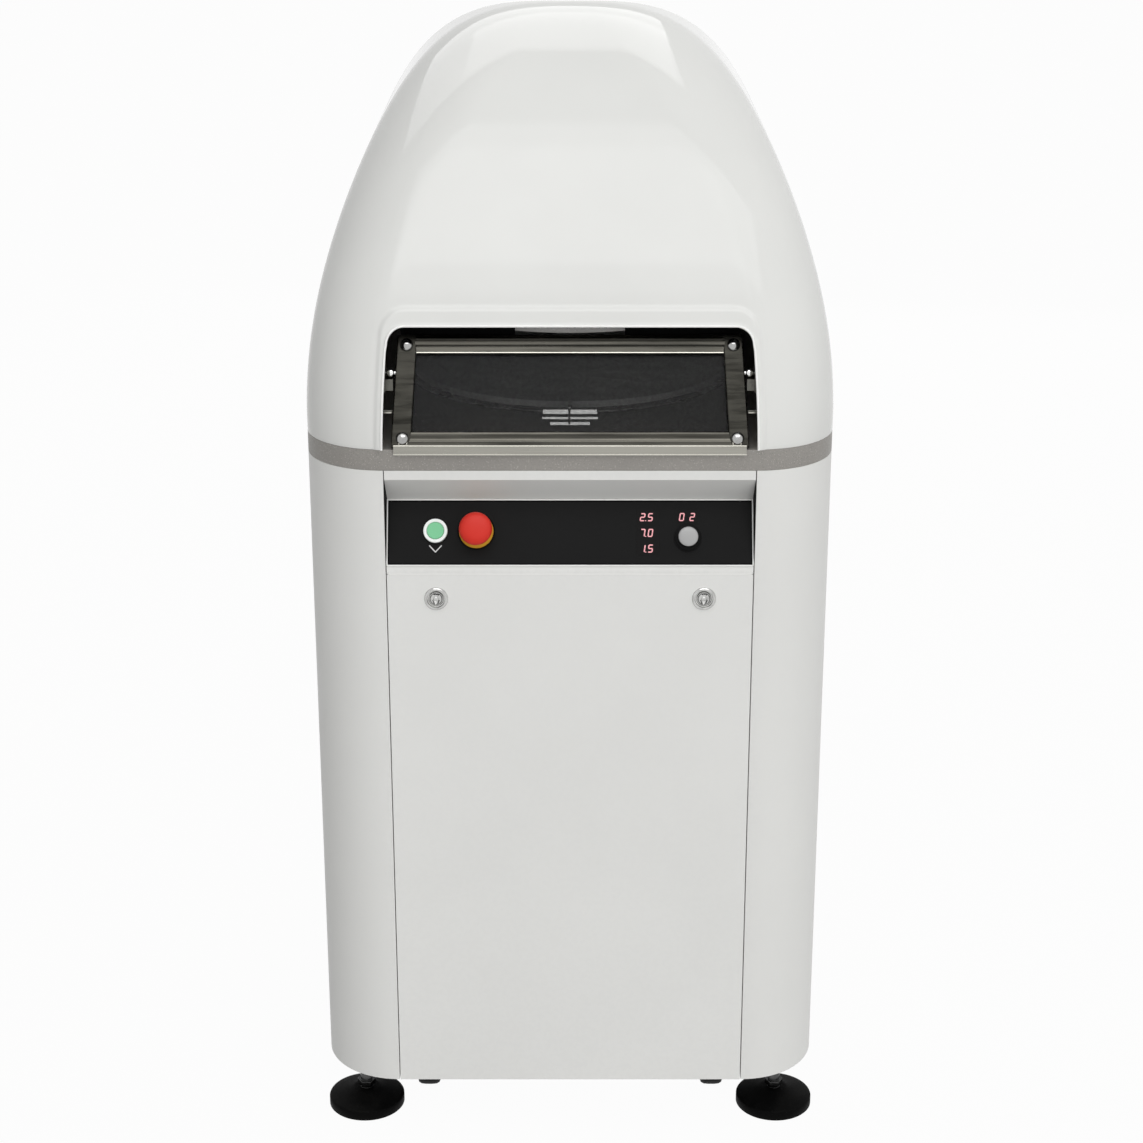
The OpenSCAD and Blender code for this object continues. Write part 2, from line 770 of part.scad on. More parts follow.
module press_stamps() {
    color("lightgray") cab(0, centre_y, stamp_z) {
        for (zone = [0 : 2]) difference() {
            cylinder(r = zone_edges[zone + 1] - slot_w / 2, h = stamp_t);
            if (zone > 0) translate([0, 0, -1]) cylinder(r = zone_edges[zone] + slot_w / 2, h = stamp_t + 2);
            for (i = [0 : counts[zone] - 1]) rotate(i * 360 / counts[zone])
                translate([0, -slot_w / 2, -1]) cube([ring_r, slot_w, stamp_t + 2]);
        }
        for (p = stamps) rotate(p[1]) translate([p[0], 0, stamp_t - 2])
            cylinder(r = stem_r, h = head_top - stamp_z - stamp_t + 2);
    }
}

module knife_grid() {
    blade_h = knife_plate_z - knife_foot + 1;
    blade_ends = [knife_r1, knife_r2, zone_edges[3] - slot_w];
    color("silver") cab(0, centre_y, 0) {
        translate([0, 0, knife_plate_z]) difference() {
            cylinder(r = zone_edges[3] - slot_w, h = knife_plate_t);
            for (p = stamps) rotate(p[1]) translate([p[0], 0, -1])
                cylinder(r = stem_r + 0.5, h = knife_plate_t + 2);
        }
        translate([0, 0, knife_foot]) {
            tube(knife_r1 + blade_t / 2, knife_r1 - blade_t / 2, blade_h);
            tube(knife_r2 + blade_t / 2, knife_r2 - blade_t / 2, blade_h);
            for (zone = [0 : 2], i = [0 : counts[zone] - 1]) rotate(i * 360 / counts[zone])
                translate([zone_edges[zone], -blade_t / 2, 0])
                    cube([blade_ends[zone] - zone_edges[zone], blade_t, blade_h]);
        }
        translate([0, 0, knife_plate_z + 5])
            cylinder(r = knife_stem_r, h = knife_stem_top - knife_plate_z - 5);
    }
}

module press_ring() {
    color("silver") cab(0, centre_y, ring_z) tube(ring_r, ring_in, ring_h);
}

module head_carrier() {
    color("silver") cab(0, centre_y, head_top) tube(head_r, knife_stem_r + run_fit, head_t);
}

module piston_rod() {
    color("silver") cab(0, centre_y, 0) difference() {
        union() {
            translate([0, 0, rod_foot]) cylinder(r = rod_r, h = piston_top - piston_t + 1 - rod_foot);
            translate([0, 0, piston_top - piston_t]) cylinder(r = piston_r - run_fit, h = piston_t);
        }
        translate([0, 0, rod_foot - 1]) cylinder(r = knife_stem_r + run_fit, h = rod_bore_top - rod_foot + 1);
    }
}

module press_cylinder() {
    color("lightsteelblue") cab(0, centre_y, 0) difference() {
        union() {
            translate([0, 0, cylinder_z]) cylinder(r = cylinder_r, h = cylinder_h);
            translate([0, 0, arm_z - 8]) cylinder(r = cylinder_r + 7, h = 8);
        }
        translate([0, 0, cylinder_z + cylinder_cap])
            cylinder(r = piston_r, h = cylinder_h - 2 * cylinder_cap);
        translate([0, 0, cylinder_z - 1]) cylinder(r = rod_r + run_fit, h = cylinder_cap + 2);
    }
}

module press_column() {
    color("dimgray") difference() {
        union() {
            both_sides() {
                block([column_x - column / 2, column_y - column / 2, table_top],
                    [column_x + column / 2, column_y + column / 2, arm_z + arm_h / 2]);
            }
            block([-column_x - column / 2, column_y - column / 2, arm_z],
                [column_x + column / 2, column_y + column / 2, arm_z + arm_h]);
            block([-40, centre_y, arm_z], [40, column_y, arm_z + arm_h]);
            cab(0, centre_y, arm_z) cylinder(r = cylinder_r + 15, h = arm_h);
        }
        cab(0, centre_y, arm_z - 1) cylinder(r = cylinder_r + run_fit, h = arm_h + 2);
    }
}

// ---- Hydraulics ----

module hydraulic_tank() {
    color("slategray") {
        block([tank_x, tank_y, base_top], [tank_x + tank[0], tank_y + tank[1], tank_top]);
        cab(tank_x + 25, tank_y + 25, tank_top) cylinder(r = 16, h = 14);
    }
}

module hydraulic_pump() {
    color("royalblue") {
        cab(pump_x, pump_y, tank_top) cylinder(r = pump_r + 8, h = pump_foot);
        cab(pump_x, pump_y, tank_top + pump_foot) cylinder(r = pump_r, h = pump_h);
        cab(pump_x, pump_y, tank_top + pump_foot + pump_h) cylinder(r = pump_r + 2, h = pump_cap);
        block([pipe_x - 14, pipe_y - 14, tank_top], [pipe_x + 14, pipe_y + 14, tank_top + 42]);
    }
}

module pressure_pipe() {
    bend_r = 24;
    port_z = cylinder_z + cylinder_h - 24;
    foot_z = tank_top + 42;
    color("silver") {
        cab(pipe_x, pipe_y, foot_z) cylinder(r = pipe_r, h = port_z - bend_r - foot_z);
        cab(pipe_x, pipe_y - bend_r, port_z - bend_r) rotate([90, 0, 90])
            rotate_extrude(angle = 90) translate([bend_r, 0]) circle(r = pipe_r);
        cab(pipe_x, 0, port_z) rod_y(pipe_r, centre_y, pipe_y - bend_r);
        cab(pipe_x, centre_y, port_z) rod_x(9, -8, -pipe_x - cylinder_r - 0.2);
    }
}

// ---- Hood and hinge ----

// Half width of the hood at height h.
function hood_half(h) = cabinet_w / 2 * pow(1 - pow(h / hood_h, side_start), 1 / side_round)
    + side_swell * sin(360 * h / hood_h);
// Distance of the hood's front from the front plane at height h.
function hood_front(h) = hood_peak * (1 - pow(1 - pow(h / hood_h, front_start), 1 / dome_round));
// Distance of the hood's rear from the front plane at height h.
function hood_back(h) = cabinet_d
    - (cabinet_d - hood_peak) * (1 - pow(1 - pow(h / hood_h, rear_start), 1 / dome_round));
// Share of the plan that a corner takes at height h: share at the foot, and whole at the top.
function hood_share(h, share, whole) = share + (whole - share) * pow(h / hood_h, 2);

// Plan of the hood at height h, set in by t, with elliptical corners.
function hood_ring(h, t, z) =
    let (w = hood_half(h) - t, y0 = hood_front(h) + t, y1 = hood_back(h) - t, w0 = cabinet_w / 2 - t,
        d0 = cabinet_d - 2 * t)
    let (fx = w * hood_share(h, (corner_r - t) / w0, 1), rx = w * hood_share(h, (rear_r - t) / w0, 1))
    let (fy = (y1 - y0) * hood_share(h, (corner_r - t) / d0, 0.5),
        ry = (y1 - y0) * hood_share(h, (rear_r - t) / d0, 0.5))
    let (arc = [for (i = [0 : 9]) 10 * i])
    concat(
        [for (a = arc) [-w + fx - fx * cos(a), y0 + fy - fy * sin(a), z]],
        [for (a = arc) [w - fx + fx * sin(a), y0 + fy - fy * cos(a), z]],
        [for (a = arc) [w - rx + rx * cos(a), y1 - ry + ry * sin(a), z]],
        [for (a = arc) [-w + rx - rx * sin(a), y1 - ry + ry * cos(a), z]]);

module hood_solid(t, levels, foot) {
    n = 40;
    top = hood_h - t;
    heights = [for (i = [0 : levels - 1]) top * sin(90 * i / levels)];
    points = concat([for (i = [0 : levels - 1]) each
            hood_ring(heights[i] * hood_h / top, t, i == 0 ? -foot : heights[i])],
        [[0, hood_peak, top]]);
    faces = concat(
        [[for (k = [0 : n - 1]) k]],
        [for (i = [0 : levels - 2], k = [0 : n - 1]) let (a = i * n + k, b = i * n + (k + 1) % n)
            each [[a, a + n, b + n], [a, b + n, b]]],
        [for (k = [0 : n - 1]) [(levels - 1) * n + k, n * levels, (levels - 1) * n + (k + 1) % n]]);
    polyhedron(points, faces);
}

module window_cut() {
    r = window_r;
    slope = (window_low - window_high) / window_h;
    arc = [for (a = [0 : 10 : 90]) [window_high - r + r * cos(a), window_h - r + r * sin(a)]];
    right = concat([[window_low + slope * 5, -5]], arc);
    left = [for (i = [len(right) - 1 : -1 : 0]) [-right[i][0], right[i][1]]];
    translate([0, 110, 0]) rotate([90, 0, 0]) linear_extrude(160) polygon(concat(right, left));
}

module hood_shell() {
    color("white") cab(0, 0, hood_z) difference() {
        hood_solid(0, 24, 0);
        hood_solid(hood_t, 24, 1);
        window_cut();
    }
}

module hinge_base() {
    color("silver") both_sides() difference() {
        union() {
            block([hinge_x - hinge_w / 2, cabinet_d, cover_top + 2],
                [hinge_x + hinge_w / 2, cabinet_d + leaf_t, table_top - 1]);
            for (x = [hinge_x - hinge_w / 2, hinge_x + hinge_w / 2 - knuckle_w]) {
                block([x, cabinet_d, table_top - 5], [x + knuckle_w, hinge_y, table_top - 1]);
                cab(x, hinge_y, hinge_z) rod_x(hinge_r, 0, knuckle_w);
                block([x, hinge_y - 4, table_top - 5], [x + knuckle_w, hinge_y + 4, hinge_z]);
            }
        }
        cab(hinge_x - hinge_w, hinge_y, hinge_z) rod_x(hinge_pin_r, 0, 2 * hinge_w);
    }
}

module hinge_pins() {
    color("darkgray") both_sides()
        cab(hinge_x, hinge_y, hinge_z) rod_x(hinge_pin_r, -hinge_w / 2 - 2, hinge_w / 2 + 2);
}

module hinge_leaf() {
    x0 = hinge_x - hinge_w / 2 + knuckle_w + clear;
    x1 = hinge_x + hinge_w / 2 - knuckle_w - clear;
    color("silver") both_sides() difference() {
        union() {
            block([x0, cabinet_d + 0.2, hinge_z], [x1, cabinet_d + 0.2 + leaf_t, hinge_z + 34]);
            block([x0, cabinet_d + 0.2, hinge_z], [x1, hinge_y, hinge_z + 5]);
            cab(x0, hinge_y, hinge_z) rod_x(hinge_r, 0, x1 - x0);
        }
        cab(x0 - 1, hinge_y, hinge_z) rod_x(hinge_pin_r + run_fit, 0, x1 - x0 + 2);
    }
}

// ---- Guard ----

// Places its children in the guard's frame: x across, z up its slope, y inwards.
module on_guard(x = 0, s = 0) {
    cab(0, guard_foot[0], guard_foot[1]) rotate([-guard_lean, 0, 0]) translate([x, 0, s]) children();
}

// Plate in the guard's plane with sloping ends.
module guard_plate(half_low, half_high, s0, s1, y0, y1) {
    on_guard() translate([0, y1, 0]) rotate([90, 0, 0]) linear_extrude(y1 - y0)
        polygon([[-half_low, s0], [half_low, s0], [half_high, s1], [-half_high, s1]]);
}

screw_at = [[guard_low - 13.3, 9.2], [guard_high - 9, guard_l - 11]];

module guard_frame() {
    low = guard_low - side_bar;
    high = guard_high - side_bar + 1;
    color("silver") difference() {
        union() {
            guard_plate(guard_low, guard_high, 0, guard_l, 0, guard_t);
            block([-guard_low + 2, -4.5, table_top - 5], [guard_low - 2, -1, guard_foot[1] + 1.8]);
        }
        guard_plate(low, high, pane_foot, guard_l - pane_head, -1, guard_t + 1);
        both_sides() {
            cab(0, pivot[0], pivot[1]) rod_x(pin_r + run_fit, pivot_half - 14, pivot_half + 10);
            for (p = screw_at) on_guard(p[0], p[1]) rod_y(3 + run_fit, -10, guard_t + 1);
        }
    }
}

module guard_pane() {
    low = guard_low - side_bar + pane_lap;
    color([0.1, 0.1, 0.1, 0.6])
        guard_plate(low, low - guard_taper * (guard_l - pane_foot - pane_head), pane_foot - pane_lap,
            guard_l - pane_head + pane_lap, guard_t, guard_t + pane_t);
}

module guard_screws() {
    color("white") both_sides() for (p = screw_at) on_guard(p[0], p[1]) {
        rod_y(3, -1, guard_t + 6);
        rotate([90, 0, 0]) rotate_extrude() polygon(concat([[0, 0], [7, 0]],
            [for (a = [0 : 15 : 75]) [7 * cos(a), 1 + 4.5 * sin(a)]], [[0, 5.5]]));
    }
}

module guard_pins() {
    color("white") both_sides() cab(0, pivot[0], pivot[1]) {
        rod_x(pin_r, pivot_half - 13, window_high + 10);
        rod_x(4.5, pivot_half + clear + 0.4, pivot_half + 4);
    }
}

module guard_brackets() {
    cheek_top = pivot[1] + 10;
    cheek_foot = pivot[1] - 20;
    stay_z = pivot[1] - 44; // thin stay below the pivot
    outer = window_high + 10;
    front = hood_front(cheek_top - hood_z) + hood_t + 3;
    color("gray") both_sides() difference() {
        union() {
            block([window_high + 1, front, cheek_foot], [outer, pivot[0] + 12, cheek_top]);
            block([pivot_half + 3, pivot[0] - 8, cheek_foot],
                [window_high + 2, pivot[0] + 8, cheek_foot + 14]);
            block([pivot_half + 4, pivot[0] - 18, stay_z], [outer, pivot[0] - 12, stay_z + 3]);
            block([window_high + 4, pivot[0] - 18, stay_z], [outer, pivot[0] + 4, cheek_foot + 1]);
        }
        cab(0, pivot[0], pivot[1]) rod_x(pin_r, window_high - 2, window_high + 12);
    }
}

// ---- Feet and castors ----

module foot_pad() {
    color("#1c1c1c") cab(foot_x, foot_y, 0) difference() {
        rotate_extrude() polygon([[0, 0], [foot_r, 0], [foot_r, 7], [foot_r - 2, 9], [20, 20], [16, 24],
            [0, 24]]);
        translate([0, 0, 16]) cylinder(r = spindle_r + 1, h = 10);
    }
}

module foot_spindle() {
    color("silver") cab(foot_x, foot_y, 16) {
        cylinder(r = spindle_r, h = base_top + 40 - 16);
        cylinder(r = spindle_r + 1, h = 8);
        translate([0, 0, 12]) cylinder(r = 12, h = 7, $fn = 6);
    }
}

module left_foot_pad() { mirror([1, 0, 0]) foot_pad(); }
module right_foot_pad() { foot_pad(); }
module left_foot_spindle() { mirror([1, 0, 0]) foot_spindle(); }
module right_foot_spindle() { foot_spindle(); }

module wheel(x, y, z) {
    color("#202020") cab(x, y, z) difference() {
        union() {
            rod_x(wheel_r, -wheel_w / 2 + 3, wheel_w / 2 - 3);
            rod_x(wheel_r - 3, -wheel_w / 2, wheel_w / 2);
        }
        rod_x(axle_r + run_fit, -wheel_w, wheel_w);
    }
}

module front_right_wheel() { wheel(castor_x, castor_y, wheel_r + wheel_lift); }
module front_left_wheel() { mirror([1, 0, 0]) front_right_wheel(); }
module rear_right_wheel() { wheel(rear_wheel_x, rear_wheel_y, wheel_r); }
module rear_left_wheel() { mirror([1, 0, 0]) rear_right_wheel(); }

// Cheeks and axle of a castor; the axle is at the origin.
module fork_cheeks(rise, offset) {
    inner = wheel_w / 2 + 1.5;
    both_sides() translate([inner, 0, 0]) rotate([90, 0, 90]) linear_extrude(fork_t)
        polygon([[-12, -8], [12, -8], [offset + 22, rise], [offset - 22, rise]]);
    rod_x(axle_r, -inner - fork_t - 2, inner + fork_t + 2);
}

module castor_fork() {
    rise = fork_top - fork_t - wheel_r - wheel_lift;
    color("lightgray") {
        cab(castor_x, castor_y, wheel_r + wheel_lift) fork_cheeks(rise + 1, trail);
        cab(castor_x, castor_y + trail, fork_top - fork_t) cylinder(r = 26, h = fork_t);
        cab(castor_x, castor_y + trail, fork_top - 1) cylinder(r = swivel_r, h = base_t + 6);
        cab(castor_x, castor_y + trail, base_top + clear) cylinder(r = 13, h = 5);
    }
}

module left_castor_fork() { mirror([1, 0, 0]) castor_fork(); }
module right_castor_fork() { castor_fork(); }

module rear_castor_forks() {
    color("lightgray") both_sides() {
        cab(rear_wheel_x, rear_wheel_y, wheel_r) fork_cheeks(base_z - 5 - wheel_r, 0);
        block([rear_wheel_x - mount_half[0], rear_wheel_y - mount_half[1], base_z - 6],
            [rear_wheel_x + mount_half[0], rear_wheel_y + mount_half[1], base_z]);
    }
}

base_plate();
chassis_frame();
left_side_cover();
right_side_cover();
rear_panel();
front_fascia();
control_panel();
display_lens();
start_bezel();
stop_collar();
control_box();
cable_gland();
table_plate();
bearing_housing();
drive_motor();
drive_belt();
press_column();
press_cylinder();
hydraulic_tank();
hydraulic_pump();
pressure_pipe();
hinge_base();
rear_castor_forks();
left_foot_pad();
left_foot_spindle();
right_foot_pad();
right_foot_spindle();
left_castor_fork();
right_castor_fork();
front_left_wheel();
front_right_wheel();
rear_left_wheel();
rear_right_wheel();
front_door();
lock_bodies();
left_lock_plug();
right_lock_plug();
start_button();
stop_stem();
stop_button();
selector_knob();
knob_cap();
hood_shell();
hinge_leaf();
hinge_pins();
guard_brackets();
guard_pins();
guard_frame();
guard_pane();
guard_screws();
piston_rod();
head_carrier();
press_ring();
press_stamps();
knife_grid();
eccentric_shaft();
driven_pulley();
motor_pulley();
rounding_table();
moulding_plate();
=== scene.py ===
import json
import math
import bmesh
import bpy
from mathutils import Matrix, Vector

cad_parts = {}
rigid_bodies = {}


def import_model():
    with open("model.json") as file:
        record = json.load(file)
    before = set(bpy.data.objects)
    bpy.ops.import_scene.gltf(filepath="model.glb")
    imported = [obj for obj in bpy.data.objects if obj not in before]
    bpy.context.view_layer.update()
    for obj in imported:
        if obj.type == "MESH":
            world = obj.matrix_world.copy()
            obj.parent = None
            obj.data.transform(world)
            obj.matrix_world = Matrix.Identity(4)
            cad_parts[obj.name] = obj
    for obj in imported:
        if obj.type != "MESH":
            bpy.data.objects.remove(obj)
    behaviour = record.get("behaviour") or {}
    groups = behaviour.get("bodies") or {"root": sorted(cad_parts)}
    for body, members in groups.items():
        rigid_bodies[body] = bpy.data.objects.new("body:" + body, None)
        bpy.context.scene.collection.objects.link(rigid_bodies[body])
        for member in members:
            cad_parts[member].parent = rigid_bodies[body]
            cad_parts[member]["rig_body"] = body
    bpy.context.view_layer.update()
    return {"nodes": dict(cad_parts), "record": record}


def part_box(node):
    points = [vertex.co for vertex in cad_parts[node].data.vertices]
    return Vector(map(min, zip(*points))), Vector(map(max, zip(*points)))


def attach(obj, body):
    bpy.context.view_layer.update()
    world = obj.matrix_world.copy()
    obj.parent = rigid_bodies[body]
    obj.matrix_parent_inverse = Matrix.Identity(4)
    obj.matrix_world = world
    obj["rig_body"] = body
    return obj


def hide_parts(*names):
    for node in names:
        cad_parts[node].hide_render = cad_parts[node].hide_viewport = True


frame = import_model()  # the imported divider-rounder, in metres, front towards -Y
nodes = frame["nodes"]
mm = 0.001
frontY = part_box("front_door")[0].y  # the cabinet's front plane
print("frame loaded:", len(nodes), "nodes")


# node helpers

def addNode(tree, kind, values=None, **settings):
    node = tree.nodes.new(kind)
    for key, value in settings.items():
        setattr(node, key, value)
    for socket, value in (values or {}).items():
        if isinstance(value, bpy.types.NodeSocket):
            tree.links.new(value, node.inputs[socket])
        else:
            node.inputs[socket].default_value = value
    return node


def newGroup(name, outputs, **amounts):
    # takes a Vector and named amounts; the group comes back with what it is given and what it puts out
    group = bpy.data.node_groups.new(name, "ShaderNodeTree")
    group.interface.new_socket("Vector", in_out="INPUT", socket_type="NodeSocketVector")
    for label, value in amounts.items():
        socket = group.interface.new_socket(label, in_out="INPUT", socket_type="NodeSocketFloat")
        socket.default_value = value
    for label in outputs:
        group.interface.new_socket(label, in_out="OUTPUT", socket_type="NodeSocketFloat")
    return group, addNode(group, "NodeGroupInput").outputs, addNode(group, "NodeGroupOutput").inputs


def putOut(group, result, **sources):
    for label, source in sources.items():
        group.links.new(source, result[label])


def rangeOf(tree, value, low, high, outLow=0.0, outHigh=1.0):
    return addNode(tree, "ShaderNodeMapRange", {
        "Value": value, "From Min": low, "From Max": high, "To Min": outLow, "To Max": outHigh,
    }, interpolation_type="SMOOTHSTEP", clamp=True).outputs["Result"]


def mathOf(tree, operation, a, b):
    return addNode(tree, "ShaderNodeMath", {0: a, 1: b}, operation=operation).outputs[0]


def mixColours(tree, share, a, b):
    return addNode(tree, "ShaderNodeMix", {"Factor": share, 6: a, 7: b}, data_type="RGBA").outputs[2]


def noiseOf(tree, vector, scale, detail, rough=0.5):
    return addNode(tree, "ShaderNodeTexNoise", {
        "Vector": vector, "Scale": scale, "Detail": detail, "Roughness": rough}).outputs["Fac"]


# Sprayed and baked paint: a faint peel and wide, very faint clouds
paintGrain, given, result = newGroup("paintGrain", ("Cloud", "Height"), Peel=420.0)
cloud = noiseOf(paintGrain, given["Vector"], 5.0, 3.0, 0.6)
putOut(paintGrain, result, Cloud=rangeOf(paintGrain, cloud, 0.3, 0.7),
       Height=noiseOf(paintGrain, given["Vector"], given["Peel"], 2.0))

# Hammered or cast finish: light and dark flecks on a bumpy skin
fleckSkin, given, result = newGroup("fleckSkin", ("Light", "Dark", "Height"), Fleck=520.0)
cells = addNode(fleckSkin, "ShaderNodeTexVoronoi", {"Vector": given["Vector"], "Scale": given["Fleck"]})
tint = addNode(fleckSkin, "ShaderNodeSeparateColor", {"Color": cells.outputs["Color"]})
dots = rangeOf(fleckSkin, cells.outputs["Distance"], 0.55, 0.2)
putOut(fleckSkin, result,
       Light=mathOf(fleckSkin, "MULTIPLY", rangeOf(fleckSkin, tint.outputs[0], 0.80, 0.9), dots),
       Dark=mathOf(fleckSkin, "MULTIPLY", rangeOf(fleckSkin, tint.outputs[1], 0.72, 0.85), dots),
       Height=noiseOf(fleckSkin, given["Vector"], given["Fleck"], 3.0))

# Drawn or ground metal: fine lines and broad streaks along the stretched axis
brushLines, given, result = newGroup("brushLines", ("Streak", "Lines", "Height"), Fine=1400.0, Broad=120.0)
fineLines = noiseOf(brushLines, given["Vector"], given["Fine"], 2.0)
broadLines = noiseOf(brushLines, given["Vector"], given["Broad"], 3.0, 0.6)
putOut(brushLines, result, Streak=rangeOf(brushLines, broadLines, 0.34, 0.66),
       Lines=rangeOf(brushLines, fineLines, 0.3, 0.7), Height=fineLines)

# Rubbed edges, broken up by a fine noise
edgeWear, given, result = newGroup("edgeWear", ("Mask",), Amount=0.5)
corners = addNode(edgeWear, "ShaderNodeNewGeometry").outputs["Pointiness"]
scuffs = noiseOf(edgeWear, given["Vector"], 160.0, 4.0)
rubbed = mathOf(edgeWear, "MULTIPLY", rangeOf(edgeWear, corners, 0.53, 0.62),
                rangeOf(edgeWear, scuffs, 0.42, 0.6))
putOut(edgeWear, result, Mask=mathOf(edgeWear, "MULTIPLY", rubbed, given["Amount"]))

# Flour dust that settles on upward faces
flourDust, given, result = newGroup("flourDust", ("Mask",), Amount=0.5)
normal = addNode(flourDust, "ShaderNodeNewGeometry").outputs["Normal"]
facing = addNode(flourDust, "ShaderNodeSeparateXYZ", {"Vector": normal})
drift = noiseOf(flourDust, given["Vector"], 26.0, 5.0, 0.7)
settled = mathOf(flourDust, "MULTIPLY", rangeOf(flourDust, facing.outputs[2], 0.5, 1.0),
                 rangeOf(flourDust, drift, 0.4, 0.75))
putOut(flourDust, result, Mask=mathOf(flourDust, "MULTIPLY", settled, given["Amount"]))


# materials

soiling = {"primer": (0.45, 0.45, 0.44, 1), "rubbed": (0.5, 0.5, 0.5, 1), "paintFlour": (0.86, 0.84, 0.79, 1),
           "metalFlour": (0.84, 0.82, 0.77, 1), "tyreFlour": (0.3, 0.29, 0.27, 1)}


def shade(value, share):
    return tuple(min(1.0, channel * share) for channel in value[:3]) + (1.0,)


def startMaterial(name, rough, metal=0.0, **sockets):
    material = bpy.data.materials.new(name)
    material.use_nodes = True
    tree = material.node_tree
    shader = tree.nodes["Principled BSDF"]
    shader.inputs["Roughness"].default_value = rough
    shader.inputs["Metallic"].default_value = metal
    for key, value in sockets.items():
        shader.inputs[key.replace("_", " ")].default_value = value
    return material, tree, shader, addNode(tree, "ShaderNodeTexCoord").outputs["Object"]


def useGroup(tree, group, vector, **values):
    node = addNode(tree, "ShaderNodeGroup")
    node.node_tree = group
    tree.links.new(vector, node.inputs["Vector"])
    for key, value in values.items():
        node.inputs[key].default_value = value
    return node.outputs


def addDust(tree, vector, tone, amount, flour):
    settled = useGroup(tree, flourDust, vector, Amount=amount)["Mask"]
    return mixColours(tree, settled, tone, soiling[flour]), settled


def addBump(tree, shader, height, strength, depth):
    bump = addNode(tree, "ShaderNodeBump", {"Height": height, "Strength": strength, "Distance": depth * mm})
    tree.links.new(bump.outputs["Normal"], shader.inputs["Normal"])


def dressShader(tree, shader, tone, roughness, height, strength, depth):
    tree.links.new(tone, shader.inputs["Base Color"])
    tree.links.new(roughness, shader.inputs["Roughness"])
    addBump(tree, shader, height, strength, depth)


def makePaint(name, colour, rough, peelBump=0.04, wear=0.25, dust=0.0, peelScale=420.0, **sockets):
    material, tree, shader, vector = startMaterial(name, rough, **sockets)
    grain = useGroup(tree, paintGrain, vector, Peel=peelScale)
    worn = useGroup(tree, edgeWear, vector, Amount=wear)
    tone = mixColours(tree, grain["Cloud"], shade(colour, 0.985), shade(colour, 1.01))
    tone = mixColours(tree, worn["Mask"], tone, soiling["primer"])
    if dust:
        tone = addDust(tree, vector, tone, dust, "paintFlour")[0]
    roughness = rangeOf(tree, grain["Cloud"], 0, 1, rough * 0.92, rough * 1.08)
    dressShader(tree, shader, tone, roughness, grain["Height"], peelBump, 0.4)
    return material


def makeMetal(name, colour, rough, stretch=(1, 1, 1), fine=1400.0, broad=120.0, contrast=0.12, lines=0.07,
              bump=0.05, dust=0.0, **sockets):
    material, tree, shader, vector = startMaterial(name, rough, metal=1.0, **sockets)
    stretched = addNode(tree, "ShaderNodeMapping", {"Vector": vector, "Scale": stretch})
    brush = useGroup(tree, brushLines, stretched.outputs["Vector"], Fine=fine, Broad=broad)
    tone = mixColours(tree, brush["Streak"], shade(colour, 1 - contrast), shade(colour, 1 + contrast))
    tone = mixColours(tree, mathOf(tree, "MULTIPLY", brush["Lines"], 0.5), tone,
                      shade(colour, 1 + lines + contrast * 0.5))
    if dust:
        tone, settled = addDust(tree, vector, tone, dust, "metalFlour")
        tree.links.new(rangeOf(tree, settled, 0, 1, 1.0, 0.0), shader.inputs["Metallic"])
    roughness = rangeOf(tree, brush["Streak"], 0, 1, rough * 0.8, rough * 1.25)
    dressShader(tree, shader, tone, roughness, brush["Height"], bump, 0.1)
    return material


def makeFlecked(name, colour, light, dark, rough, fleck=520.0, bump=0.25, dust=0.0):
    material, tree, shader, vector = startMaterial(name, rough)
    skin = useGroup(tree, fleckSkin, vector, Fleck=fleck)
    grain = useGroup(tree, paintGrain, vector, Peel=fleck * 0.5)
    tone = mixColours(tree, grain["Cloud"], shade(colour, 0.95), shade(colour, 1.05))
    tone = mixColours(tree, skin["Light"], tone, light)
    tone = mixColours(tree, skin["Dark"], tone, dark)
    if dust:
        tone = addDust(tree, vector, tone, dust, "metalFlour")[0]
    roughness = rangeOf(tree, grain["Height"], 0.3, 0.7, rough * 0.85, rough * 1.15)
    dressShader(tree, shader, tone, roughness, skin["Height"], bump, 0.5)
    return material


def makePlastic(name, colour, rough, grainScale=900.0, bump=0.06, wear=0.2, worn=soiling["rubbed"],
                **sockets):
    material, tree, shader, vector = startMaterial(name, rough, **sockets)
    grain = useGroup(tree, paintGrain, vector, Peel=grainScale)
    rubbed = useGroup(tree, edgeWear, vector, Amount=wear)
    tone = mixColours(tree, grain["Cloud"], shade(colour, 0.93), shade(colour, 1.06))
    tone = mixColours(tree, rubbed["Mask"], tone, worn)
    roughness = rangeOf(tree, grain["Height"], 0.3, 0.7, rough * 0.85, rough * 1.15)
    dressShader(tree, shader, tone, roughness, grain["Height"], bump, 0.2)
    return material


def makeRubber(name, colour, rough, dust=0.10, **sockets):
    material, tree, shader, vector = startMaterial(name, rough, **sockets)
    skin = useGroup(tree, fleckSkin, vector, Fleck=900.0)
    tone = mixColours(tree, skin["Light"], colour, shade(colour, 2.2))
    tone = addDust(tree, vector, tone, dust, "tyreFlour")[0]
    roughness = rangeOf(tree, skin["Height"], 0.3, 0.7, rough * 0.8, rough * 1.1)
    dressShader(tree, shader, tone, roughness, skin["Height"], 0.2, 0.3)
    return material


def makePane(name):
    # smoked polycarbonate, thinly cast, so that it dims what lies behind it
    material, tree, shader, vector = startMaterial(name, 0.12, Specular_IOR_Level=0.12)
    grain = useGroup(tree, paintGrain, vector, Peel=260.0)
    tone = mixColours(tree, grain["Cloud"], (0.018, 0.018, 0.019, 1), (0.023, 0.023, 0.023, 1))
    tree.links.new(tone, shader.inputs["Base Color"])
    tree.links.new(rangeOf(tree, grain["Height"], 0.3, 0.7, 0.40, 0.46), shader.inputs["Alpha"])
    addBump(tree, shader, grain["Height"], 0.02, 0.2)
    return material


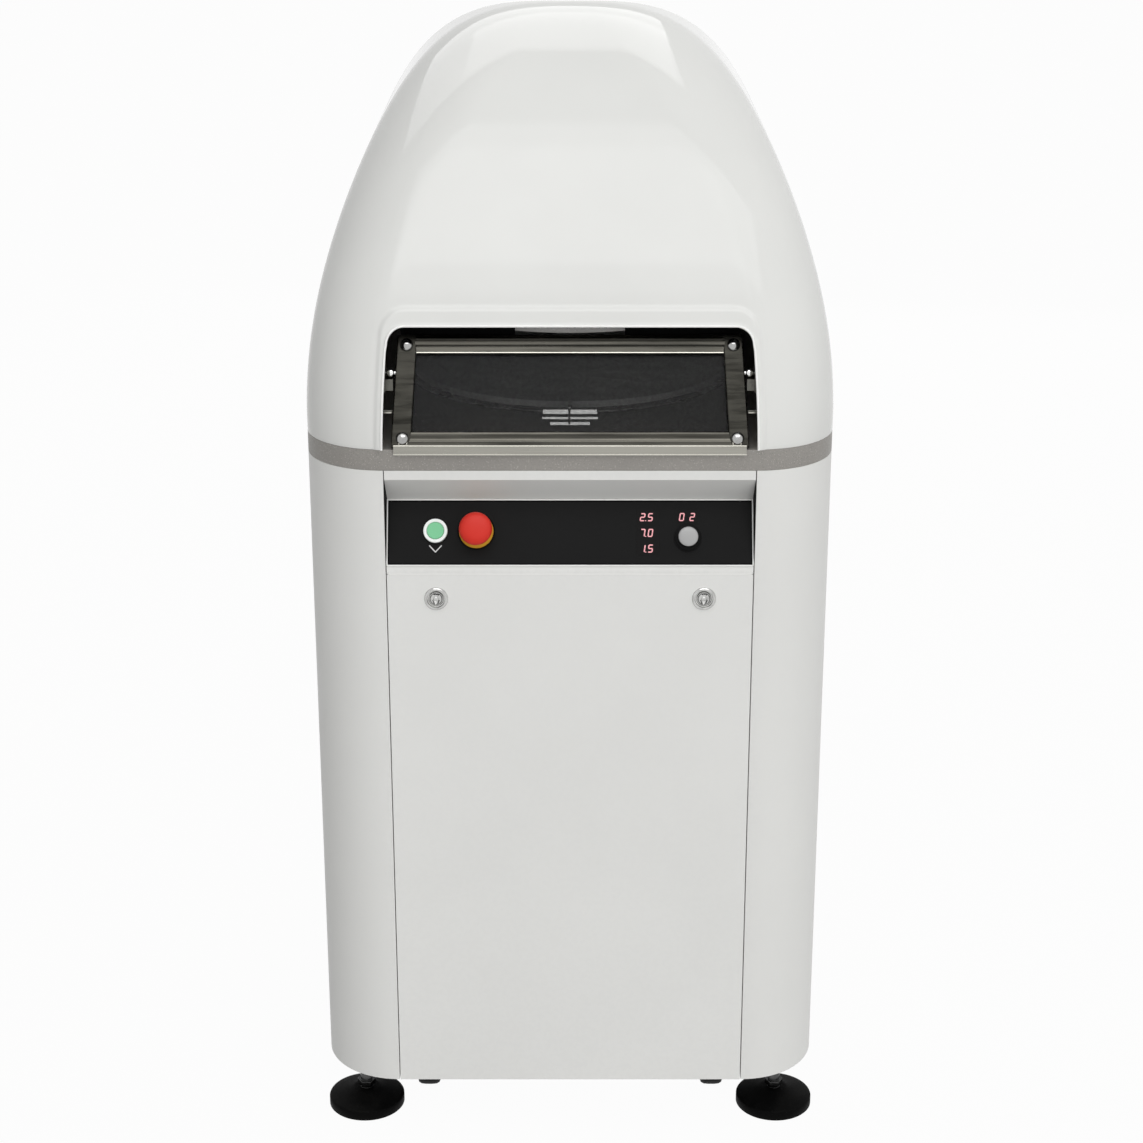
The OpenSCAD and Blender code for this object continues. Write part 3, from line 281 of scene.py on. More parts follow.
def makeGlow(name, colour, body):
    material, tree, shader, vector = startMaterial(name, 0.3, Emission_Strength=0.68)
    grain = useGroup(tree, paintGrain, vector, Peel=500.0)
    lit = mixColours(tree, grain["Cloud"], shade(colour, 0.85), colour)
    tree.links.new(lit, shader.inputs["Emission Color"])
    tree.links.new(mixColours(tree, grain["Height"], shade(body, 0.9), body), shader.inputs["Base Color"])
    return material


finishes = {
    "cover_white": makePaint("coverWhite", (0.722, 0.722, 0.704, 1), 0.42, wear=0.15, Specular_IOR_Level=0.3),
    "door_white": makePaint("doorWhite", (0.740, 0.740, 0.722, 1), 0.45, wear=0.15, Specular_IOR_Level=0.3),
    "hood_white": makePaint("hoodWhite", (0.688, 0.691, 0.672, 1), 0.07, peelBump=0.004, wear=0.0,
                            peelScale=160.0, Specular_IOR_Level=0.22),
    # a whiter copy of the white paint for rolled edges, beads and seam strips: painted highlight
    "highlight_white": makePaint("highlightWhite", (0.84, 0.84, 0.82, 1), 0.25, peelBump=0.01, wear=0.0),
    "band_grey": makeFlecked("bandGrey", (0.264, 0.251, 0.232, 1), (0.42, 0.40, 0.37, 1),
                             (0.18, 0.175, 0.165, 1), 0.45, fleck=820.0, bump=0.10),
    "panel_black": makePlastic("panelBlack", (0.0076, 0.0076, 0.0077, 1), 0.42, grainScale=1300.0, bump=0.03,
                               wear=0.0, Specular_IOR_Level=0.07),
    "display_red": makePlastic("displayLens", (0.0074, 0.0071, 0.0072, 1), 0.35, bump=0.01, wear=0.0,
                               Specular_IOR_Level=0.07),
    "bezel_white": makePlastic("bezelWhite", (0.90, 0.93, 0.91, 1), 0.3, wear=0.0),
    "button_green": makePlastic("buttonGreen", (0.205, 0.585, 0.315, 1), 0.35, wear=0.0,
                                Specular_IOR_Level=0.3),
    "collar_yellow": makePlastic("collarYellow", (0.80, 0.40, 0.040, 1), 0.35, wear=0.0,
                                 Specular_IOR_Level=0.3),
    "stop_red": makePlastic("stopRed", (0.60, 0.029, 0.018, 1), 0.45, wear=0.0, Specular_IOR_Level=0.2),
    "dark_plastic": makePlastic("darkPlastic", (0.010, 0.010, 0.0105, 1), 0.42, wear=0.3,
                                worn=(0.05, 0.05, 0.05, 1), Specular_IOR_Level=0.2),
    "knob_black": makePlastic("knobBlack", (0.0035, 0.0035, 0.0036, 1), 0.5, wear=0.0,
                              Specular_IOR_Level=0.08),
    "cap_grey": makePlastic("capGrey", (0.355, 0.355, 0.355, 1), 0.4, grainScale=1500.0, bump=0.15,
                            wear=0.05),
    "zinc_steel": makeMetal("zincSteel", (0.52, 0.53, 0.54, 1), 0.35, fine=600.0, broad=60.0, contrast=0.14),
    "frame_paint": makePaint("framePaint", (0.17, 0.175, 0.18, 1), 0.5, wear=0.6, dust=0.25),
    "box_grey": makePaint("boxGrey", (0.42, 0.43, 0.43, 1), 0.45, wear=0.3, dust=0.3),
    "cast_grey": makeFlecked("castGrey", (0.10, 0.105, 0.11, 1), (0.2, 0.2, 0.2, 1), (0.05, 0.05, 0.05, 1),
                             0.55, fleck=380.0, bump=0.35, dust=0.3),
    "motor_blue": makePaint("motorBlue", (0.045, 0.12, 0.25, 1), 0.42, peelBump=0.12, wear=0.10, dust=0.10),
    "tank_paint": makePaint("tankPaint", (0.12, 0.145, 0.17, 1), 0.42, peelBump=0.1, wear=0.10, dust=0.10),
    "belt_rubber": makeRubber("beltRubber", (0.014, 0.014, 0.014, 1), 0.7),
    "pulley_iron": makeMetal("pulleyIron", (0.30, 0.30, 0.31, 1), 0.42, fine=500.0, broad=80.0, contrast=0.2),
    "ground_steel": makeMetal("groundSteel", (0.58, 0.58, 0.59, 1), 0.22, stretch=(1, 1, 12), fine=240.0,
                              broad=30.0, contrast=0.06, lines=0.04, bump=0.02),
    "foot_rubber": makeRubber("footRubber", (0.0018, 0.0018, 0.0018, 1), 0.6, dust=0.012,
                              Specular_IOR_Level=0.04),
    "wheel_rubber": makeRubber("wheelRubber", (0.006, 0.006, 0.006, 1), 0.7, Specular_IOR_Level=0.1),
    "spindle_dark": makeMetal("spindleDark", (0.085, 0.085, 0.085, 1), 0.14, fine=600.0, broad=60.0,
                              contrast=0.3),
    "lock_chrome": makeMetal("lockChrome", (0.50, 0.50, 0.49, 1), 0.16, fine=700.0, broad=120.0,
                             contrast=0.15),
    "guard_steel": makeMetal("guardSteel", (0.064, 0.0615, 0.053, 1), 0.24, stretch=(0.06, 1, 1), fine=300.0,
                             broad=75.0, contrast=0.34, lines=0.04, bump=0.02),
    # a darker copy of the guard steel for the side posts: painted dark reflection
    "guard_side_shaded": makeMetal("guardSideShaded", (0.029, 0.028, 0.024, 1), 0.30, stretch=(0.12, 1, 1), fine=300.0,
                            broad=85.0, contrast=0.50, lines=0.06, bump=0.02),
    # a lighter copy of the guard steel for the lip: painted reflection
    "guard_lip_lit": makeMetal("guardLipLit", (0.345, 0.336, 0.300, 1), 0.26, stretch=(0.06, 1, 1), fine=300.0,
                           broad=45.0, contrast=0.12, lines=0.04, bump=0.02),
    # a bright copy of the guard steel for thin edge lines: painted highlight
    "guard_edge_highlight": makeMetal("guardEdgeHighlight", (0.52, 0.51, 0.455, 1), 0.20, stretch=(0.06, 1, 1), fine=300.0,
                            broad=45.0, contrast=0.12, lines=0.04, bump=0.02),
    "guard_chrome": makeMetal("guardChrome", (0.40, 0.40, 0.392, 1), 0.14, fine=700.0, broad=90.0,
                              contrast=0.10),
    "pin_bright": makeMetal("pinBright", (0.80, 0.80, 0.79, 1), 0.16, fine=700.0, broad=90.0, contrast=0.06),
    "bracket_grey": makeMetal("bracketGrey", (0.15, 0.148, 0.132, 1), 0.35, fine=700.0, broad=90.0,
                              contrast=0.3),
    "pane_smoke": makePane("paneSmoke"),
    "head_alu": makeMetal("headAlu", (0.70, 0.69, 0.67, 1), 0.28, stretch=(1, 1, 10), fine=240.0, broad=24.0,
                          contrast=0.08, lines=0.04, bump=0.02, dust=0.06),
    "stamp_plastic": makePlastic("stampPlastic", (0.62, 0.63, 0.62, 1), 0.4, wear=0.1),
    "knife_steel": makeMetal("knifeSteel", (0.60, 0.61, 0.62, 1), 0.25, contrast=0.10),
    "display_glow": makeGlow("displayGlow", (0.70, 0.30, 0.32, 1), (0.60, 0.28, 0.30, 1)),
    "print_white": makePlastic("printWhite", (0.62, 0.62, 0.62, 1), 0.5, wear=0.0),
}
print("materials:", len(finishes))


# mesh helpers

def addPiece(bm, name, body, slot, finish=None, bevel=0.0, sharp=40, replaces=()):
    # with a bevel, edges past 30 degrees are rounded; without one, edges past the sharp angle stay hard
    mesh = bpy.data.meshes.new(name)
    bm.normal_update()
    for face in bm.faces:
        face.smooth = True
    bm.to_mesh(mesh)
    bm.free()
    mesh.materials.append(finishes[finish or slot])
    piece = bpy.data.objects.new(name, mesh)
    bpy.context.scene.collection.objects.link(piece)
    if bevel:
        edges = piece.modifiers.new("edges", "BEVEL")
        edges.width = bevel * mm
        edges.segments = 2
        edges.limit_method = "ANGLE"
        edges.angle_limit = math.radians(30)
        edges.profile = 0.5
        shading = piece.modifiers.new("shading", "WEIGHTED_NORMAL")
        shading.keep_sharp = True
    else:
        mesh.set_sharp_from_angle(angle=math.radians(sharp))
    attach(piece, body)
    if replaces:
        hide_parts(*replaces)
    return piece


def copyNode(node):
    bm = bmesh.new()
    bm.from_mesh(nodes[node].data)
    bmesh.ops.remove_doubles(bm, verts=bm.verts, dist=0.002 * mm)
    bmesh.ops.dissolve_limit(bm, angle_limit=math.radians(0.4), verts=bm.verts, edges=bm.edges)
    return bm


def spinProfile(bm, points, steps=64, matrix=Matrix(), closed=False):
    # a turned part: the profile's points are radius and height, in millimetres
    before = set(bm.verts)
    verts = [bm.verts.new((radius * mm, 0, height * mm)) for radius, height in points]
    edges = [bm.edges.new(pair) for pair in zip(verts, verts[1:] + verts[:1] if closed else verts[1:])]
    bmesh.ops.spin(bm, geom=verts + edges, cent=(0, 0, 0), axis=(0, 0, 1), angle=2 * math.pi,
                   steps=steps, use_merge=True)
    made = [v for v in bm.verts if v not in before]
    bmesh.ops.remove_doubles(bm, verts=made, dist=0.004 * mm)
    made = [v for v in made if v.is_valid]
    bmesh.ops.recalc_face_normals(bm, faces=list({f for v in made for f in v.link_faces}))
    bmesh.ops.transform(bm, matrix=matrix, verts=made)
    return made


def extrudeProfile(bm, points, start, end, matrix=Matrix()):
    # a bar along x from start to end: the profile's points are y and z, in millimetres
    verts = [bm.verts.new((start * mm, y * mm, z * mm)) for y, z in points]
    face = bm.faces.new(verts)
    made = bmesh.ops.extrude_face_region(bm, geom=[face])
    moved = [item for item in made["geom"] if isinstance(item, bmesh.types.BMVert)]
    bmesh.ops.translate(bm, vec=((end - start) * mm, 0, 0), verts=moved)
    verts += moved
    bmesh.ops.recalc_face_normals(bm, faces=list({f for v in verts for f in v.link_faces}))
    bmesh.ops.transform(bm, matrix=matrix, verts=verts)


def oblong(low, foot, high, top):
    return [(low, foot), (high, foot), (high, top), (low, top)]


def bothSides(bm, points, near, far, matrix=Matrix()):
    # a bar and its twin, between two distances from the middle
    for side in (-1, 1):
        start, end = sorted((side * near, side * far))
        extrudeProfile(bm, points, start, end, matrix)


def extrudeRing(bm, ring, edges):
    # a new ring of vertices, in the order of the last, and the edges along it
    made = bmesh.ops.extrude_edge_only(bm, edges=edges)["geom"]
    fresh = {item for item in made if isinstance(item, bmesh.types.BMVert)}
    edges = [item for item in made if isinstance(item, bmesh.types.BMEdge)
             and item.verts[0] in fresh and item.verts[1] in fresh]
    return [next(e.other_vert(v) for e in v.link_edges if e.other_vert(v) in fresh) for v in ring], edges


def addBox(bm, centre, size):
    bmesh.ops.create_cube(bm, size=1, matrix=Matrix.Translation(centre) @ Matrix.Diagonal((*size, 1)))


def addDisc(bm, radius, height, segments=6, matrix=Matrix(), bevel=0.0):
    # a prism or drum with its foot at the matrix's origin
    lifted = matrix @ Matrix.Translation((0, 0, height / 2 * mm))
    made = bmesh.ops.create_cone(bm, cap_ends=True, cap_tris=False, segments=segments, radius1=radius * mm,
                                 radius2=radius * mm, depth=height * mm, matrix=lifted)
    if bevel:
        top = {e for v in made["verts"] for e in v.link_edges if e.calc_face_angle(0) > 0.6}
        bmesh.ops.bevel(bm, geom=list(top), offset=bevel * mm, offset_type="OFFSET", segments=2, profile=0.5,
                        affect="EDGES", material=-1, clamp_overlap=True)


def axisMatrix(spot, axis):
    # puts z along the axis at a place in the cabinet's frame, in millimetres behind the front plane
    direction = Vector(axis).normalized().to_track_quat("Z", "Y").to_matrix().to_4x4()
    return Matrix.Translation((spot[0] * mm, frontY + spot[1] * mm, spot[2] * mm)) @ direction


def strip(bm, points, width, matrix, thick=0.12):
    # a thin flat printed line through points
    for (x0, y0), (x1, y1) in zip(points, points[1:]):
        a, b = Vector((x0, y0, 0)), Vector((x1, y1, 0))
        along = (b - a).normalized()
        turn = Matrix((along, (-along.y, along.x, 0), (0, 0, 1))).transposed().to_4x4()
        size = Matrix.Diagonal((((b - a).length + width) * mm, width * mm, thick * mm, 1))
        bmesh.ops.create_cube(bm, size=1, matrix=matrix @ Matrix.Translation((a + b) / 2 * mm) @ turn @ size)


def stripRing(bm, half, low, high, width, matrix, thick):
    strip(bm, [(-half, low), (half, low), (half, high), (-half, high), (-half, low)], width, matrix, thick)


def boltRow(name, body, places, axis, size=6.0, socket=False):
    # hexagon heads on washers, or round socket heads
    bm = bmesh.new()
    for spot in places:
        matrix = axisMatrix(spot, axis)
        addDisc(bm, size * 1.05, 1.2, 24, matrix, bevel=0.25)
        lifted = matrix @ Matrix.Translation((0, 0, 1.2 * mm))
        if socket:
            spinProfile(bm, [(0, 1.2), (size * 0.32, 1.2), (size * 0.32, 3.2), (size * 0.5, 3.6),
                             (size * 0.72, 3.0), (size * 0.8, 1.6), (size * 0.8, 0)], 16, lifted)
        else:
            addDisc(bm, size * 0.85, size * 0.55, 6, lifted, bevel=0.4)
    addPiece(bm, name, body, "zinc_steel")


# sheet and machined parts that keep the CAD shape, with softened edges

softened = {  # node: (piece name, bevel in mm, finish when it differs from the slot)
    "left_side_cover": ("leftCover", 0.7, None), "right_side_cover": ("rightCover", 0.7, None),
    "rear_panel": ("rearPanel", 0.5, None), "front_fascia": ("fascia", 0.5, None),
    "front_door": ("doorPanel", 0.6, "door_white"),
    "start_bezel": ("startRing", 0.8, None), "start_button": ("startCap", 0.7, None),
    "stop_collar": ("stopCone", 0.5, None), "stop_stem": ("stopShaft", 0.3, None),
    "table_plate": ("tableBand", 1.4, None), "base_plate": ("floorPlate", 0.6, None),
    "chassis_frame": ("frameTubes", 1.5, None), "control_box": ("electricBox", 2.0, None),
    "cable_gland": ("cordGland", 0.5, None), "bearing_housing": ("bearingBlock", 1.5, None),
    "press_column": ("pressPosts", 2.0, None), "press_cylinder": ("pressBarrel", 1.2, None),
    "hinge_base": ("hingeFeet", 0.5, None), "hinge_leaf": ("hingeArms", 0.5, None),
    "hinge_pins": ("hingeRods", 0.5, None), "guard_brackets": ("guardCheeks", 0.6, "bracket_grey"),
    "piston_rod": ("pressRod", 0.5, None),
    "head_carrier": ("headPlate", 1.2, None), "press_ring": ("headRing", 1.0, None),
    "left_foot_spindle": ("leftSpindle", 0.4, "spindle_dark"),
    "right_foot_spindle": ("rightSpindle", 0.4, "spindle_dark"),
    "left_castor_fork": ("leftFork", 0.5, None), "right_castor_fork": ("rightFork", 0.5, None),
    "rear_castor_forks": ("rearForks", 0.5, None), "driven_pulley": ("tablePulley", 0.4, None),
    "motor_pulley": ("motorDrive", 0.4, None), "rounding_table": ("tableCarrier", 0.4, None),
    "eccentric_shaft": ("crankShaft", 0.6, None), "hydraulic_tank": ("oilTank", 3.0, None),
    "hydraulic_pump": ("oilPump", 1.5, None),
}
slotOf = {part["node"]: part.get("material_slot") for part in frame["record"]["subparts"]}


def softenNode(node, name, bevel, finish=None):
    body = nodes[node]["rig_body"]
    addPiece(copyNode(node), name, body, slotOf[node], finish, bevel=bevel, replaces=(node,))


for node, (pieceName, bevelWidth, finishName) in softened.items():
    softenNode(node, pieceName, bevelWidth, finishName)
print("softened parts:", len(softened))


# places on the machine

def place(x, y, z):
    # millimetres across, behind the front plane and above the floor
    return Vector((x * mm, frontY + y * mm, z * mm))


cabinet = Matrix.Translation(place(0, 0, 0))
slopes = {"panel": (0, 792, 26.565), "guard": (-2, 943.5, 27.6)}  # foot behind the front, its height, lean


def slopeMatrix(y, z, lean, x=0.0, up=0.0, out=0.0):
    # local x across, y up the slope and z outwards, on a face that leans back
    turn = math.radians(lean)
    rise, run = math.sin(turn), math.cos(turn)
    face = Matrix(((1, 0, 0), (0, rise, -run), (0, run, rise))).to_4x4()
    return Matrix.Translation(place(0, y, z)) @ face @ Matrix.Translation((x * mm, up * mm, out * mm))


def onPanel(x=0.0, up=0.0, out=0.0):
    return slopeMatrix(*slopes["panel"], x, up, out)


def onGuard(x=0.0, up=0.0, out=0.0):
    return slopeMatrix(*slopes["guard"], x, up, out)


# hood: one glossy moulded shell with a raised lip round the window

hood = {
    "foot": 939.3, "tall": 478, "half": 320, "depth": 700, "peak": 360, "wall": 3.6, "edge": 1.3,
    "shoulder": (1.716, 2.895), "brow": (1.45, 1.7), "nape": (5, 1.7), "swell": 3.6,  # powers of the outlines
    "corner": 98, "rearCorner": 40, "crown": (0.72, 3.2),  # corners at the foot, and their growth with height
    "flat": 0.6, "fine": 0.15,  # shares of the half width with even and with closer points
    "lipTop": 163.5, "lipSide": 10.5, "lipRaise": 2.7, "lipStep": 6.0, "rimRaise": 0.9, "rimStep": 3.2}
window = {"low": 223, "high": 216, "top": 141.0, "corner": 21, "lean": 1.6, "cornerFrom": 130}


def superCurve(h, powers):
    return (1 - (h / hood["tall"]) ** powers[0]) ** (1 / powers[1])


def hoodHalf(h):
    swell = hood["swell"] * math.sin(2 * math.pi * h / hood["tall"])
    return hood["half"] * superCurve(h, hood["shoulder"]) + swell


def hoodFront(h):
    return hood["peak"] * (1 - superCurve(h, hood["brow"]))


def hoodBack(h):
    return hood["depth"] - (hood["depth"] - hood["peak"]) * (1 - superCurve(h, hood["nape"]))


def cornerReach(h, radius):
    # how far a corner reaches across and along the hood
    share, power = hood["crown"]
    height = (h / hood["tall"]) ** power
    across, along = radius / hood["half"], radius / hood["depth"]
    return (hoodHalf(h) * (across + (share - across) * height),
            (hoodBack(h) - hoodFront(h)) * (along + (share * 0.5 - along) * height))


def hoodFace(x, h):
    # how far the front surface lies behind the front plane
    across, along = cornerReach(h, hood["corner"])
    over = min(1.0, max(0.0, abs(x) - (hoodHalf(h) - across)) / across)
    return hoodFront(h) + along * (1 - math.sqrt(1 - over * over))


def outside(x, h, half, top, corner):
    # distance outwards from a rounded opening that stands on the hood's foot
    a, b = abs(x) - half + corner, h - top + corner
    return min(max(a, b), 0) + math.hypot(max(a, 0), max(b, 0)) - corner


def windowHalf(h):
    return window["low"] + (window["high"] - window["low"]) * (max(0.0, h) / window["top"]) ** window["lean"]


def fromWindow(x, h):
    return outside(x, h, windowHalf(h), window["top"], window["corner"])


def fromLip(x, h):
    return outside(x, h, windowHalf(h) + hood["lipSide"], hood["lipTop"], window["corner"] + 10)


def easeStep(value):
    value = min(1.0, max(0.0, value))
    return value * value * (3 - 2 * value)


def hoodPoint(x, h):
    raised = hood["lipRaise"] * easeStep(-fromLip(x, h) / hood["lipStep"])
    raised += hood["rimRaise"] * easeStep(1 - fromWindow(x, h) / hood["rimStep"])
    return place(x, hoodFace(x, h) - raised, hood["foot"] + h)


def hoodSection(h):
    # half of the plan at one height, from the middle of the front to the middle of the rear
    half, front, back, z = hoodHalf(h), hoodFront(h), hoodBack(h), hood["foot"] + h
    (frontX, frontR), (rearX, rearR) = cornerReach(h, hood["corner"]), cornerReach(h, hood["rearCorner"])
    shares = [hood["flat"] * i / 32 for i in range(32)]
    shares += [hood["flat"] + hood["fine"] * i / 32 for i in range(33)]
    points = [hoodPoint(share * half, h) for share in shares]
    start = math.asin((shares[-1] * half - half + frontX) / frontX)
    for i in range(1, 13):
        angle = start + (math.pi / 2 - start) * i / 12
        x, y = half - frontX + frontX * math.sin(angle), front + frontR * (1 - math.cos(angle))
        points.append(place(x, y, z))
    for i in range(1, 14):
        points.append(place(half, front + frontR + (back - rearR - front - frontR) * i / 14, z))
    for i in range(11):
        angle = math.pi / 2 * i / 10
        points.append(place(half - rearX * (1 - math.cos(angle)), back - rearR * (1 - math.sin(angle)), z))
    for i in range(1, 11):
        points.append(place((half - rearX) * (1 - i / 10), back, z))
    return points


def hoodLoop(h):
    right = hoodSection(h)
    return right + [Vector((-p.x, p.y, p.z)) for p in right[-2:0:-1]]


hoodLevels = [4.5 * i for i in range(24)] + [108 + 1.5 * i for i in range(41)]  # closer round the lip
steps = 64  # rings above them, closing up towards the crown
start = (1 - hoodLevels[-1] / hood["tall"]) ** (1 / 3)
hoodLevels += [hood["tall"] * (1 - (start * (1 - i / steps)) ** 3) for i in range(1, steps)]
bm = bmesh.new()
loop = hoodLoop(0)
ring = bmesh.ops.create_circle(bm, cap_ends=False, segments=len(loop), radius=1)["verts"]
edges = list(bm.edges)
flat = {}  # where each vertex lies across and above the hood's foot
for level in hoodLevels:
    if level:
        ring, edges = extrudeRing(bm, ring, edges)
    for vert, point in zip(ring, hoodLoop(level)):
        vert.co = point
        flat[vert] = (point.x / mm, level)
peak = bmesh.ops.create_vert(bm, co=place(0, hood["peak"], hood["foot"] + hood["tall"]))["vert"][0]
for edge in edges:
    bm.faces.new((edge.verts[0], edge.verts[1], peak))
bmesh.ops.recalc_face_normals(bm, faces=bm.faces)
frontVerts = {v for v in flat if v.co.y < frontY + 0.12 and abs(flat[v][0]) < 0.76 * hoodHalf(flat[v][1])}
opening = [f for f in bm.faces if all(v in frontVerts for v in f.verts)
           and fromWindow(sum(flat[v][0] for v in f.verts) / len(f.verts),
                          sum(flat[v][1] for v in f.verts) / len(f.verts)) < 0]
bmesh.ops.delete(bm, geom=opening, context="FACES")
for vert in [v for v in frontVerts if v.is_valid and v.is_boundary and fromWindow(*flat[v]) < 6]:
    x, h = flat[vert]
    for _ in range(4):
        gap = fromWindow(x, h)
        slideX = fromWindow(x + 0.01, h) - gap
        slideH = fromWindow(x, h + 0.01) - gap if flat[vert][1] > 0 else 0.0
        length = math.hypot(slideX, slideH) or 1
        x, h = x - gap * slideX / length, h - gap * slideH / length
    vert.co = hoodPoint(x, max(0.0, h))
hoodPiece = addPiece(bm, "hoodDome", "hood", "hood_white", sharp=60, replaces=("hood_shell",))
wall = hoodPiece.modifiers.new("wall", "SOLIDIFY")
wall.thickness = hood["wall"] * mm
wall.offset = -1
rim = hoodPiece.modifiers.new("rim", "BEVEL")
rim.width, rim.segments, rim.limit_method = hood["edge"] * mm, 3, "ANGLE"
rim.angle_limit = math.radians(60)

trim = {"radius": 1.5, "sunk": 0.2, "sides": 12, "corner": 10}  # a rolled edge round the opening, in a whiter paint than the hood: a painted highlight along the edge
inner = windowHalf(window["cornerFrom"]) - window["corner"]
path = [(-windowHalf(h), h) for h in range(0, 118, 6)]
for i in range(trim["corner"] + 1):
    angle = math.pi / 2 * i / trim["corner"]
    path.append((-inner - window["corner"] * math.cos(angle),
                 window["top"] - window["corner"] * (1 - math.sin(angle))))
path += [(-inner * (1 - i / 12), window["top"]) for i in range(1, 13)]
path += [(-x, h) for x, h in path[-2::-1]]
bm = bmesh.new()
ring = bmesh.ops.create_circle(bm, cap_ends=False, segments=trim["sides"], radius=1)["verts"]
edges = list(bm.edges)
firstRing = ring
for step, (x, h) in enumerate(path):
    if step:
        ring, edges = extrudeRing(bm, ring, edges)
    ahead, behind = path[min(step + 1, len(path) - 1)], path[max(step - 1, 0)]
    along = (hoodPoint(*ahead) - hoodPoint(*behind)).normalized()
    sideways = along.cross(Vector((0, -1, 0))).normalized()
    outwards = sideways.cross(along).normalized()
    for i, vert in enumerate(ring):
        angle = 2 * math.pi * i / trim["sides"]
        vert.co = (hoodPoint(x, h) - outwards * trim["sunk"] * mm
                   + (sideways * math.cos(angle) + outwards * math.sin(angle)) * trim["radius"] * mm)
for cap in (firstRing, ring):
    bm.faces.new(cap)
bmesh.ops.recalc_face_normals(bm, faces=bm.faces)
addPiece(bm, "windowTrim", "hood", "hood_white", "highlight_white", sharp=60)
print("hood:", len(hoodPiece.data.polygons), "faces")


# guard: folded stainless frame, pane, screws and pivots

guardBars = {  # each profile runs from the outer edge inwards: millimetres across the bar and outwards
    "top": [(0, -8), (0, -2.6), (0.6, -1.7), (2.4, -1.3), (3.8, -1.0), (4.4, -0.4), (5.2, -0.1), (6.2, -0.1),
            (6.6, -1.2), (7.6, -1.3), (8.0, -0.1), (8.8, 0), (12.6, 0), (13.1, -0.3), (13.5, -2.0),
            (14.7, -2.0), (15.1, -0.3), (15.6, 0), (20.6, 0), (22.9, 0), (23.3, -0.7), (24, -1.6), (24, -8)],
    "foot": [(0, -8), (0, -0.6), (0.8, 0.0), (3.6, 0.0), (4.2, 0.1), (4.8, 0.5), (5.8, 0.6), (6.6, 0.4),
             (7.2, -0.1), (8.6, -0.4), (10.4, -0.5), (12.2, -0.3), (14.0, 0.0), (16.4, 0.0), (17.5, -0.5),
             (18, -1.6), (18, -8)],
    "side": [(0, -8), (0, -1.6), (0.5, -0.5), (1.6, 0.0), (7.0, -0.25), (12.0, -0.35), (17.0, -0.2),
             (21.4, 0.0), (22.8, -0.6), (23.4, -2.0), (23.4, -8)],
}
guardCorners = {"low": 212, "high": 205, "long": 136, "innerLow": 188, "innerHigh": 182, "innerFoot": 18,
                "innerTop": 112, "lip": 209}


def guardBar(bm, profile, start, end, cuts=()):
    # start and end are the bar's outer edge; inwards is on the left of the way from start to end
    a, b = Vector((start[0], start[1], 0)), Vector((end[0], end[1], 0))
    along = (b - a).normalized()
    inwards = Vector((-along.y, along.x, 0))
    turn = Matrix((along, inwards, (0, 0, 1))).transposed().to_4x4()
    before = set(bm.verts)
    extrudeProfile(bm, profile, 0, (b - a).length, Matrix.Translation(a * mm) @ turn)
    for point, normal in cuts:
        made = [v for v in bm.verts if v not in before]
        parts = made + list({e for v in made for e in v.link_edges})
        parts += list({f for v in made for f in v.link_faces})
        cut = bmesh.ops.bisect_plane(bm, geom=parts, plane_co=Vector(point) * mm, plane_no=normal,
                                     clear_outer=True)["geom_cut"]
        bmesh.ops.holes_fill(bm, edges=[item for item in cut if isinstance(item, bmesh.types.BMEdge)])
    made = [v for v in bm.verts if v not in before]
    bmesh.ops.recalc_face_normals(bm, faces=list({f for v in made for f in v.link_faces}))


c = guardCorners
bm = bmesh.new()
ends = [((side * c["innerHigh"], c["innerTop"], 0), (side * 20, -3.5, 0)) for side in (-1, 1)]  # mitres
guardBar(bm, guardBars["top"], (c["high"], c["long"]), (-c["high"], c["long"]), ends)
ends = [((side * c["innerLow"], c["innerFoot"], 0), (side * 18, 4, 0)) for side in (-1, 1)]
guardBar(bm, guardBars["foot"], (-c["low"], 0), (c["low"], 0), ends)
bmesh.ops.transform(bm, matrix=onGuard(), verts=bm.verts)
addPiece(bm, "guardRails", "guard", "guard_steel", bevel=0.3, replaces=("guard_frame",))
# side posts in the darker copy of the guard steel: painted dark reflection
bm = bmesh.new()
guardBar(bm, guardBars["side"], (c["low"], 0), (c["high"], c["long"]))
guardBar(bm, guardBars["side"], (-c["high"], c["long"]), (-c["low"], 0))
bmesh.ops.transform(bm, matrix=onGuard(), verts=bm.verts)
addPiece(bm, "guardPosts", "guard", "guard_steel", "guard_side_shaded", bevel=0.3)
# a line along the pane's top edge and a glint under the lip, in the bright copy of the guard steel, are
# painted highlights; the thin stops beside the posts share that finish
bm = bmesh.new()
strip(bm, [(-182, 113.7), (182, 113.7)], 1.0, Matrix.Translation((0, 0, 0.1 * mm)), 0.4)
bmesh.ops.transform(bm, matrix=onGuard(), verts=bm.verts)
glint = [(-3.0, 933.5), (-4.5, 933.5), (-4.9, 934.3), (-4.5, 935.2), (-3.0, 935.2)]
extrudeProfile(bm, glint, -c["lip"], c["lip"], cabinet)
bothSides(bm, oblong(24.2, 976.9, 25.6, 978.3), 212, 226, cabinet)  # thin stops beside the posts
addPiece(bm, "guardEdges", "guard", "guard_steel", "guard_edge_highlight")
# the lip and tabs in the lighter copy of the guard steel: painted reflection
lip = [(-1, 933.6), (-3.4, 933.6), (-4.3, 934.4), (-4.4, 937.2), (-3.9, 939.0), (-3.6, 941.6), (-3.0, 944.4),
       (-2.2, 945.2), (-1, 945.2)]
bm = bmesh.new()
tabParts = ((192, 203, 0.6, 1.9), (192, 203, 4.3, 5.6), (192, 193.6, 1.9, 4.3), (201.4, 203, 1.9, 4.3))
for near, far, low, high in tabParts:  # slotted tab at each lower corner
    bothSides(bm, oblong(low, -1, high, 1.2), near, far)
bmesh.ops.transform(bm, matrix=onGuard(), verts=bm.verts)
extrudeProfile(bm, lip, -c["lip"], c["lip"], cabinet)
addPiece(bm, "guardLipLit", "guard", "guard_steel", "guard_lip_lit", bevel=0.3)

